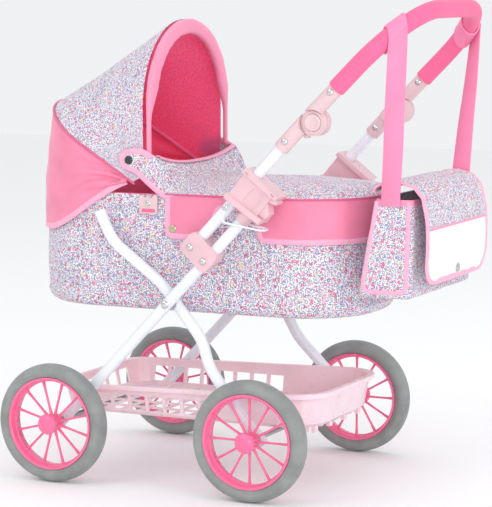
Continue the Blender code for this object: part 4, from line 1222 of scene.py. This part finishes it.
def make_skirt():
    """The pink skirt, cut away under each bracket, with its bound hem and the piping above it."""
    columns = skirt_columns()
    rows = []
    for i in range(9):
        t = i / 8
        row = []
        for x, y, a, b, low in columns:
            z = SKIRT_TOP + (low - SKIRT_TOP) * t
            loose = math.sin(math.pi * min(1.0, t * 1.4) / 2)
            out = max(0.0010 * t + ripple((x, y, z * 0.6), 0.026, 0.0030) * loose, -0.0004)
            row.append((x + a * out, y + b * out, z))
        rows.append(row)
    skirt = cloth("cover_skirt", rows, "pink", "cot", inside=(0.1, 0, 0.38))
    hem = [Vector(point) for point in [rows[0][0]] + rows[-1] + [rows[0][-1]]]
    outs = [Vector((column[2], column[3], 0)) for column in [columns[0]] + columns + [columns[-1]]]
    inwards = [out.cross(along) for out, along in zip(outs, tangents(hem))]
    tape = trim("cover_hem_tape", binding(hem, inwards), "tape")
    line = [(x + a * 0.0013, y + b * 0.0013, SKIRT_TOP + 0.0004) for x, y, a, b, _ in columns]
    piping = piping_along("cover_piping", line, 0.0014)


def tab_outline():
    """A side tab's upper and lower edges, as (x, z) points from its round end to the shield and skirt."""
    def round_end(way, last):
        turns = [math.radians(angle) for angle in range(0, last + 1, 10)]
        return [(TAB_CENTRE[0] - TAB_RADIUS * math.cos(a), TAB_CENTRE[1] + way * TAB_RADIUS * math.sin(a))
                for a in turns]

    upper = round_end(1, 90)
    upper += [(-0.0540, 0.4756), (-0.0450, 0.4755), (-0.0350, 0.4722), (COVER_FRONT, cover_edge(COVER_FRONT))]
    lower = round_end(-1, 60)
    lower += [(-0.0530, 0.4405), (-0.0440, 0.4330), (-0.0350, 0.4255), (-0.0260, 0.4185), (-0.0180, 0.4125)]
    lower += [(-0.0110, 0.4085), (SKIRT_FRONT, 0.4060)]
    return upper, lower


def make_tabs():
    """The shield's sides, with a tab that snaps to the hood, and the tape along the shield's whole edge."""
    upper, lower = tab_outline()
    top = [Vector((x, 0, z)) for x, z in upper]
    top += [Vector((x, 0, cover_edge(x))) for x in (COVER_FRONT + SHIELD_STEP * k for k in range(1, 9))]
    bottom = [Vector((x, 0, z)) for x, z in lower] + [Vector((0.0123, 0, SKIRT_TOP))]
    top, bottom = resampled(top, 34), resampled(bottom, 34)
    pieces = []
    edge = []
    for name, side in SIDES:
        rows = []
        for i in range(9):
            t = i / 8
            row = []
            for a, b in zip(top, bottom):
                place = a.lerp(b, t)
                puff = 0.0007 * math.sin(math.pi * t) + ripple((place.x, side, place.z), 0.016, 0.0004)
                row.append((place.x, side * (COVER_OUTER + puff), place.z))
            rows.append(row)
        pieces.append(cloth(f"shield_side_{name}", rows, "floral", "cot"))
        edge.append([(x, side * COVER_OUTER, z) for x, z in lower[::-1] + upper[1:]])
    arch = []
    half = cot_half_width(COVER_FRONT)
    for k in range(1, 44):
        y = -half * math.cos(math.pi * k / 44)
        height = cover_edge(COVER_FRONT) - 0.0150 * arched(y, half, 2.5)
        arch.append((COVER_FRONT, y, height))
    path = resampled(edge[0] + arch + edge[1][::-1], 190)
    inwards = []
    for point in path:
        if abs(point.y) > half - 0.004 and point.x < COVER_FRONT + 0.001:
            inwards.append(Vector((TAB_CENTRE[0] + 0.014, point.y, TAB_CENTRE[1] - 0.002)) - point)
        elif abs(point.y) > half - 0.004:
            inwards.append(Vector((0, 0, 1)))
        else:
            inwards.append(Vector((1, 0, 0)))
    return pieces, trim("shield_tape", binding(path, inwards, 0.0046, 0.0021), "tape")


def make_snaps():
    """A black snap on each tab and a brass one at each front corner of the skirt."""
    face = COT_HALF_WIDTH + 0.0029
    for name, side in SIDES:
        black = [(face, 0.0045), (face, 0.0062), (face + 0.0010, 0.0062), (face + 0.0018, 0.0055)]
        black += [(face + 0.0024, 0.0043), (face + 0.0021, 0.0036)]
        black += [(face + 0.0024, 0.0028), (face + 0.0027, 0.0012)]
        shape = turned_out(black, side, (TAB_CENTRE[0], 0, TAB_CENTRE[1]), 32)
        stand_in(f"tab_snap_{name}", shape, "black", "cot")
        brass = [(face, 0.0040), (face, 0.0060), (face + 0.0009, 0.0060), (face + 0.0015, 0.0051)]
        brass += [(face + 0.0012, 0.0038), (face + 0.0015, 0.0026), (face + 0.0017, 0.0010)]
        stand_in(f"skirt_snap_{name}", turned_out(brass, side, SKIRT_SNAP, 32), "brass", "cot")


def side_block(outline, low, high, side):
    """An (x, z) outline extruded out from the cot's side."""
    rows = [[(x, side * (COT_HALF_WIDTH + out), z) for x, z in outline] for out in (low, high)]
    return grid_mesh(rows, closed=True, caps=True)


def make_clips():
    """The hood's clip on each side of the cot: a notched plate with a rivet, and a pink eyelet below."""
    plate = [
        (-0.0460, 0.3840), (-0.0180, 0.3840), (-0.0180, 0.4105), (-0.0235, 0.4105), (-0.0255, 0.4070),
        (-0.0385, 0.4070), (-0.0405, 0.4105), (-0.0460, 0.4105),
    ]
    eyelet = [(x, z + 0.3885) for x, z in rounded_rectangle(-0.0430, -0.0210, 0.0026, 0.0024, 0.0024, 5)]
    boss = [(COT_HALF_WIDTH + 0.0030, 0.0064), (COT_HALF_WIDTH + 0.0046, 0.0060)]
    face = COT_HALF_WIDTH + 0.0044
    head = [(face, 0.0012), (face, 0.0042), (face + 0.0007, 0.0039)]
    head += [(face + 0.0013, 0.0028), (face + 0.0015, 0.0008)]
    for name, side in SIDES:
        adds = [side_block(plate, 0.0004, 0.0040, side), turned_out(boss, side, CLIP_RIVET, 32)]
        cuts = [side_block(eyelet, 0.0022, 0.01, side)]
        fused(f"hood_clip_{name}", adds, cuts, "joint", "cot", 0.0007)
        make(f"clip_eyelet_{name}", side_block(eyelet, 0.0018, 0.0027, side), "wheel", "cot")
        make(f"clip_rivet_{name}", turned_out(head, side, CLIP_RIVET, 28), "chrome", "cot")


# Hood

HOOD_HINGE = (-0.042, 0.4165)  # x, z
HOOD_HALF_WIDTH = 0.1262
HOOD_STRAIGHT = 0.115  # length of a bow's straight sides
HOOD_HEIGHT = 0.240
BACK_BOW_HEIGHT = 0.226
BACK_BOW_ANGLE = math.radians(58)
BACK_BOW_INSET = 0.0052
RIM_DEPTH = 0.022
RIM_FOOT = 0.052  # where the rim's padding ends above the hinge
RIM_FOOT_DEPTH = 0.0065
RIM_SHIFT = 0.008
CANOPY_INSET = 0.0011


def hood_arch(top, inset, lowest):
    """(y, height) along a hood bow, from the left hinge over the top to the right hinge."""
    half = HOOD_HALF_WIDTH - inset
    rise = top - inset - HOOD_STRAIGHT
    side = [(-half, lowest + (HOOD_STRAIGHT - lowest) * k / 6) for k in range(6)]
    turns = [math.pi * k / 40 for k in range(41)]
    arch = [(-half * math.cos(turn), HOOD_STRAIGHT + rise * math.sin(turn)) for turn in turns]
    return side + arch + [(-y, height) for y, height in reversed(side)]


def front_bow(inset, lowest, shift):
    """The upright bow, with its points moved along X by shift."""
    x, z = HOOD_HINGE
    return [Vector((x + shift, y, z + height)) for y, height in hood_arch(HOOD_HEIGHT, inset, lowest)]


def back_bow(angle, inset, lowest):
    """The bow that leans back by an angle."""
    x, z = HOOD_HINGE
    return [
        Vector((x - height * math.sin(angle), y, z + height * math.cos(angle)))
        for y, height in hood_arch(BACK_BOW_HEIGHT, inset, lowest)
    ]


def make_rim():
    """The padded front rim: full over the top, and a thin strip down to each hinge."""
    count = 110
    outer = resampled(front_bow(0.0002, RIM_FOOT, RIM_SHIFT), count)
    inner = resampled(front_bow(RIM_DEPTH, RIM_FOOT, RIM_SHIFT), count)
    rows = []
    for a, b in zip(outer, inner):
        full = ease((a.z - 0.512) / 0.060)
        depth = RIM_FOOT_DEPTH + (RIM_DEPTH - RIM_FOOT_DEPTH) * full
        wide = 0.0034 + 0.0036 * full
        away = (b - a).normalized()
        centre = a + away * depth / 2
        ring = []
        for p, q in circle(1.0, 22):
            p = math.copysign(abs(p) ** 0.8, p)
            q = math.copysign(abs(q) ** 0.8, q)
            place = (a.x + 0.02 * p, a.y * 1.6, a.z * 1.6 + 0.02 * q)
            pucker = 1.0 + ripple(place, 0.012, 0.10) * full - 0.03
            ring.append(centre + away * (p * depth / 2 * pucker) + Vector((q * wide * pucker, 0, 0)))
        rows.append(ring)
    rim = make("hood_rim_visual", grid_mesh(rows, closed=True, caps=True), "rim", "hood_front",
               ["hood_rim"], smooth=70.0)


def make_canopy():
    """Floral outside and pink lining inside, a little slack between the two bows."""
    count = 81
    front = resampled(front_bow(CANOPY_INSET, 0.020, -0.0005), count)
    back = resampled(back_bow(BACK_BOW_ANGLE, CANOPY_INSET, 0.020), count)
    middle = Vector((HOOD_HINGE[0] - 0.06, 0, HOOD_HINGE[1] + 0.06))
    rows = []
    for k in range(25):
        t = k / 24
        row = []
        for j, (a, b) in enumerate(zip(front, back)):
            place = a.lerp(b, t)
            slack = math.sin(math.pi * t) * math.sin(math.pi * j / (count - 1)) ** 0.5
            inward = Vector((0, middle.y - place.y, middle.z - place.z)).normalized()
            pull = 0.0030 * slack + ripple((place.x * 0.6, place.y, place.z), 0.040, 0.0020) * slack
            row.append(place + inward * pull)
        rows.append(row)
    canopy = cloth("hood_canopy_visual", rows, ["floral", "lining"], None, ["hood_canopy"],
                   inside=middle, inner=1)
    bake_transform(canopy)
    bow = tube(resampled(back_bow(BACK_BOW_ANGLE, BACK_BOW_INSET, 0.036), 90), 0.0024, 14, (1, 0, 0))
    stand_in("hood_back_bow", bow, "tube", "cot")
    casing = tube(resampled(back_bow(BACK_BOW_ANGLE, BACK_BOW_INSET, 0.032), 110), 0.0032, 14, (1, 0, 0))
    trim("hood_bow_casing", casing, "inside")
    line = back_bow(BACK_BOW_ANGLE + math.radians(0.4), -0.0004, 0.016)
    return piping_along("hood_piping", line, 0.0017)


def curtain_hem(grow, count):
    """The curtain's lower edge: round the cot's front end, rising along its sides to the hood's hinges."""
    low_x, rise_from, rise_run = -0.066, -0.215, 0.175
    corner = COT_FRONT_CORNER + grow
    half = COT_HALF_WIDTH + grow
    front = COT_FRONT - grow
    straight = low_x - (front + corner)
    arc = corner * math.pi / 2
    flat = half - corner
    total = 2 * (straight + arc + flat)
    points = []
    for k in range(count):
        s = total * k / (count - 1)
        far = s > total / 2
        s = min(s, total - s)
        if s < straight:
            x, y = low_x - s, half
        elif s < straight + arc:
            turn = (s - straight) / corner
            x, y = front + corner - corner * math.sin(turn), half - corner + corner * math.cos(turn)
        else:
            x, y = front, half - corner - (s - straight - arc)
        climb = ease((x - rise_from) / rise_run) / ease((low_x - rise_from) / rise_run)
        points.append(Vector((x, y if far else -y, 0.352 + 0.073 * climb)))
    return points


def make_curtain(piping):
    """The pink cloth from the back bow down round the cot's front end, creased from the hinges."""
    count = 121
    top = resampled(back_bow(BACK_BOW_ANGLE + math.radians(1.2), CANOPY_INSET, 0.030), count)
    hem = resampled(curtain_hem(0.0029, 400), count)
    rows = []
    for k in range(37):
        t = k / 36
        out = 1 - (1 - min(1.0, t / 0.62)) ** 1.5
        row = []
        for j, (a, b) in enumerate(zip(top, hem)):
            place = Vector((a.x + (b.x - a.x) * out, a.y + (b.y - a.y) * out, a.z + (b.z - a.z) * t))
            away = Vector((place.x + 0.10, place.y, 0)).normalized()
            spread = abs(j / (count - 1) - 0.5) * 2
            wander = 1.1 * noise.noise((spread * 2.4, t * 2.0, 0.3))
            wander += 0.5 * noise.noise((spread * 7.0, t * 5.0, 2.3))
            fold = math.sin((t * 6.4 + wander) * math.pi)
            fan = math.copysign(abs(fold) ** 0.6, fold)
            depth = 0.0042 * fan * spread**1.5 * math.sin(math.pi * t) ** 0.6
            depth += ripple((place.x, place.y, place.z * 0.5), 0.030, 0.0036) * math.sin(math.pi * t)
            row.append(place + away * max(depth, -0.0010 if t > 0.55 else -0.005))
        rows.append(row)
    curtain = cloth("hood_curtain_visual", rows, ["pink", "inside"], "cot", ["hood_curtain"],
                    inside=(-0.08, 0, 0.42), inner=1)
    edge = resampled(rows[-1], 150)
    tape = trim("curtain_hem_tape", binding(edge, [Vector((0, 0, 1))] * len(edge), 0.0045, 0.0019), "tape")


# Bag

BAG_LOW, BAG_HIGH = (Vector(corner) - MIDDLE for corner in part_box("bag_body"))
BAG_HALF_WIDTH = BAG_HIGH.y
BAG_FLOOR = BAG_LOW.z
BAG_TOP = BAG_HIGH.z
BAG_MIDDLE = 0.323  # x
BAG_SEAM = 0.006  # height of the bottom seam above the bag's floor
FLAP_HINGE = (0.3085, 0.4335)  # x, z
FLAP_CORNER = 0.030
FLAP_HALF_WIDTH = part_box("bag_flap")[1][1]
STRAP_WIDTH = 0.027
STRAP_THICKNESS = 0.0020
STRAP_U = 0.4145
STRAP_END = 0.409
STRAP_TWIST = math.radians(40)
STRAP_FEET = {"left": 0.3325, "right": 0.3420}  # x of each strap's sewn end


def bag_ring(low, high, half, z, grow=0.0):
    ring = closed_plan(rounded_rectangle(low - grow, high + grow, half + grow, 0.008, 0.008, 8), 120)
    return [(point.x, point.y, z + ripple((point.x, point.y, z), 0.03, 0.0008)) for point in ring]


def bag_floor(low, high, half, z, scales):
    """Flat rings that close the bag's floor towards its middle."""
    ring = bag_ring(low, high, half, 0)
    return [[(BAG_MIDDLE + (x - BAG_MIDDLE) * scale, y * scale, z) for x, y, _ in ring] for scale in scales]


def bag_height(t):
    return BAG_FLOOR + BAG_SEAM + (BAG_TOP - BAG_FLOOR - BAG_SEAM) * t


def make_bag_body():
    """An open floral bag that bulges a little, with a pink top band and a grey lining."""
    rows = bag_floor(0.2900, 0.3560, 0.114, BAG_FLOOR, (0.05, 0.5, 0.9))
    rows.append(bag_ring(0.2900, 0.3560, 0.1140, BAG_FLOOR))
    rows.append(bag_ring(0.2850, 0.3595, 0.1185, BAG_FLOOR + 0.0025))
    steps = 16
    for k in range(steps + 1):
        t = k / steps
        grow = 0.0014 * math.sin(math.pi * t) - 0.0002
        half = BAG_HALF_WIDTH - 0.0003
        rows.append(bag_ring(0.2835 + 0.0245 * t, 0.3605 + 0.0025 * t, half, bag_height(t), grow))
    outside = len(rows)
    rows.append(bag_ring(0.3088, 0.3622, BAG_HALF_WIDTH - 0.0010, BAG_TOP + 0.0004))
    rows.append(bag_ring(0.3100, 0.3610, BAG_HALF_WIDTH - 0.0020, BAG_TOP - 0.0006))
    for t in (0.92, 0.7, 0.4, 0.1):
        half = BAG_HALF_WIDTH - 0.0022
        rows.append(bag_ring(0.2855 + 0.0245 * t, 0.3585 + 0.0025 * t, half, bag_height(t)))
    rows += bag_floor(0.2920, 0.3540, 0.112, BAG_FLOOR + 0.0035, (0.9, 0.5, 0.05))

    def material_of(i, _):
        if i >= outside:
            return 2
        return 1 if i >= outside - 2 else 0

    mesh = grid_mesh(rows, closed=True, caps=True, material_of=material_of)
    body = make("bag_body_visual", mesh, ["floral_bag", "rim", "grey"], "bag", ["bag_body"],
                smooth=60.0)
    for name, side in SIDES:
        y = side * BAG_HALF_WIDTH
        low, high = BAG_FLOOR + BAG_SEAM, BAG_TOP - 0.002
        corners = [(0.3095, y, high), (0.2872, y, low), (0.3572, y, low), (0.3606, y, high)]
        path = resampled(filleted(corners, (0.012, 0.014), 8), 70)
        inwards = [Vector((0.325, y, 0.350)) - point for point in path]
        trim(f"bag_end_tape_{name}", binding(path, inwards, 0.0032, 0.0017), "tape", "bag")


def make_flap():
    """The flap over the bag: floral above, a pink band, a white panel below and a taped edge."""
    x, z = FLAP_HINGE
    outside = [(x - 0.0020, z - 0.0060), (x - 0.0010, z), (x + 0.0120, z + 0.0060), (x + 0.0330, z + 0.0080)]
    outside += [(x + 0.0550, z + 0.0030), (x + 0.0680, z - 0.0120), (x + 0.0740, z - 0.0400)]
    outside += [(x + 0.0760, z - 0.0800), (x + 0.0730, z - 0.1310)]
    corner = FLAP_CORNER
    path = resampled([(a, 0, b) for a, b in outside], 240)
    along = distances(path)
    near = along[-1] - corner
    full = [point for point, s in zip(path, along) if s < near][::4]
    turn = [point for point, s in zip(path, along) if s >= near]
    picks = sorted({round((len(turn) - 1) * math.sin(math.pi * k / 32)) for k in range(17)})
    path = full + [turn[k] for k in picks]
    along = distances(path)
    rows = []
    for (point, normal, _), s in zip(frames_along(path, (0, 0, 1)), along):
        left = max(0.0, corner - (along[-1] - s))
        half = FLAP_HALF_WIDTH - 0.0004 - (corner - math.sqrt(max(corner**2 - left**2, 0)))
        row = []
        for k in range(41):
            across = -1 + 2 * k / 40
            sag = 0.0012 * (1 - across**2) + ripple((point.x, across * 0.12, point.z), 0.035, 0.0012)
            row.append(point + Vector((0, across * half, 0)) + normal * min(sag, 0.0022))
        rows.append(row)
    band_top, band_foot = 0.3820, 0.3775

    def material_of(i, _):
        if path[i].x <= x + 0.05 or path[i].z > band_top:
            return 0
        return 1 if path[i].z > band_foot else 2

    flap = cloth("bag_flap_visual", rows, ["floral_bag", "rim", "white", "grey"], "bag_flap",
                 ["bag_flap"], inside=(0.33, 0, 0.36), thickness=0.0018, material_of=material_of)
    edge = [row[0] for row in rows] + rows[-1][1:-1] + [row[-1] for row in reversed(rows)]
    inwards = [Vector((0, -math.copysign(1, point.y), 0)) for point in edge]
    for i, point in enumerate(edge):
        if point.z < 0.336 and point.x > 0.36:
            y = math.copysign(min(abs(point.y), FLAP_HALF_WIDTH - corner), point.y)
            inwards[i] = Vector((point.x, y, 0.338)) - point
    line, ways = resampled(edge, 260), resampled_directions(edge, inwards, 260)
    tape = trim("flap_tape", binding(line, ways, 0.0044, 0.0019), "tape", "bag_flap")
    face = x + 0.0757
    profile = [(face, 0.0050), (face, 0.0066), (face + 0.0010, 0.0066), (face + 0.0017, 0.0056)]
    profile += [(face + 0.0012, 0.0046), (face + 0.0014, 0.0030), (face + 0.0019, 0.0010)]
    snap = turned(profile, (0, 0, 0.3160), 36, axis=0)
    stand_in("bag_snap", snap, "silver", "bag_flap")


def strap_curve(reach, side):
    """The grip's centre line under a strap, within reach of the strap's middle, round the bow's corner."""
    middle = math.asin((STRAP_U - (BOW_U - BOW_CORNER)) / BOW_CORNER)
    points = []
    for k in range(-3, 4):
        turn = middle + reach / BOW_CORNER * k / 3
        u = BOW_U - BOW_CORNER + BOW_CORNER * math.sin(turn)
        points.append(arm(u, 0, -BOW_CORNER * (1 - math.cos(turn)), side))
    return points


def strap_loop(radius, side, across):
    """Rings of the strap's loop round the grip, each a slanted cut of the grip with upright edges."""
    rings = []
    slant = math.cos(math.radians(33))
    for point, normal, binormal in frames_along(strap_curve(STRAP_WIDTH / 2 / slant, side), (0, 0, 1)):
        along = normal.cross(binormal)
        ring = []
        for a, b in circle(radius, 40):
            out = normal * a + binormal * b
            ring.append(point + out - along * out.dot(across) / along.dot(across))
        rings.append(ring)
    return rings


def strap_ring(centre, twist, slope, side):
    """The webbing's section, a flat band with eased corners."""
    across = Vector((math.cos(twist), -side * math.sin(twist), slope)) * (STRAP_WIDTH / 2)
    through = Vector((math.sin(twist), side * math.cos(twist), 0)) * (STRAP_THICKNESS / 2)
    half = [(-1, -0.6), (-0.96, -1), (0, -1), (0.96, -1), (1, -0.6)]
    return [centre + across * a + through * b for a, b in half + [(-a, -b) for a, b in half]]


def stitched(face, low, high, half_width):
    """Short threads round a box and along its diagonals, on the strap's sewn end."""
    box = [(-half_width, low), (half_width, low), (half_width, high), (-half_width, high), (-half_width, low)]
    threads = []
    for line in (box, [box[0], box[2]], [box[1], box[3]]):
        for start, end in zip(line, line[1:]):
            a, b = (face + Vector((p, 0, q)) for p, q in (start, end))
            stitches = max(2, int((b - a).length / 0.0028))
            for k in range(stitches):
                ends = [a.lerp(b, (k + 0.15) / stitches), a.lerp(b, (k + 0.85) / stitches)]
                threads.append(tube(ends, 0.00035, 6, (0, 1, 0)))
    return joined(threads)


def make_straps():
    """Webbing round the grip, with a flat band from its outer side down to a sewn end on the bag."""
    radius = GRIP_RADIUS + 0.0008
    thickness = STRAP_THICKNESS
    for name, side in SIDES:
        across = Vector((math.cos(STRAP_TWIST), -side * math.sin(STRAP_TWIST), 0))
        outwards = Vector((math.sin(STRAP_TWIST), side * math.cos(STRAP_TWIST), 0))
        outer = strap_loop(radius + thickness, side, across)
        inner = strap_loop(radius, side, across)
        loop = grid_mesh(outer + inner[::-1] + [outer[0]], closed=True)
        curve = strap_curve(STRAP_WIDTH / 2, side)
        slope = (curve[4] - curve[2]).z / (curve[4] - curve[2]).dot(across)
        foot = Vector((STRAP_FEET[name], side * (BAG_HALF_WIDTH + 0.0005 + thickness / 2), STRAP_END))
        knee = foot + Vector((0, 0, 0.014))
        top = curve[3] + outwards * (radius + thickness / 2) - Vector((0, 0, 0.002))
        rings = [strap_ring(place, 0.0, 0.0, side) for place in (foot, foot.lerp(knee, 0.5))]
        for k in range(15):
            t = k / 14
            sway = Vector((ripple((side, t, 0.5), 0.4, 0.0015), 0, 0)) * math.sin(math.pi * t)
            rings.append(strap_ring(knee.lerp(top, t) + sway, STRAP_TWIST * t, slope * t, side))
        band = grid_mesh(rings, closed=True, caps=True)
        node = f"bag_strap_{name}"
        strap = make(f"{node}_visual", joined([loop, band]), "strap", None, [node],
                     smooth=50.0)
        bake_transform(strap)
        face = foot + Vector((0, side * (thickness / 2 + 0.0002), 0))
        threads = stitched(face, 0.0020, 0.0180, STRAP_WIDTH / 2 - 0.0030)
        trim(f"strap_stitches_{name}", threads, "tape", "bag")


def finish_basket():
    """The basket keeps its own CAD shape, and only takes its material."""
    basket = bpy.data.objects[next(o.name for o in bpy.data.objects if o.get("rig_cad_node") == "basket")]
    basket.data.materials.clear()
    basket.data.materials.append(MATERIALS["basket"])


make_stage()
make_wheels()
make_frame()
make_couplers()
make_brackets()
make_bails()
make_handle_joints()
make_handle_bow()
make_cot()
cover = make_cover_top()
make_skirt()
sides, shield_tape = make_tabs()
make_snaps()
make_clips()
make_rim()
make_curtain(make_canopy())
make_bag_body()
make_flap()
make_straps()
finish_basket()
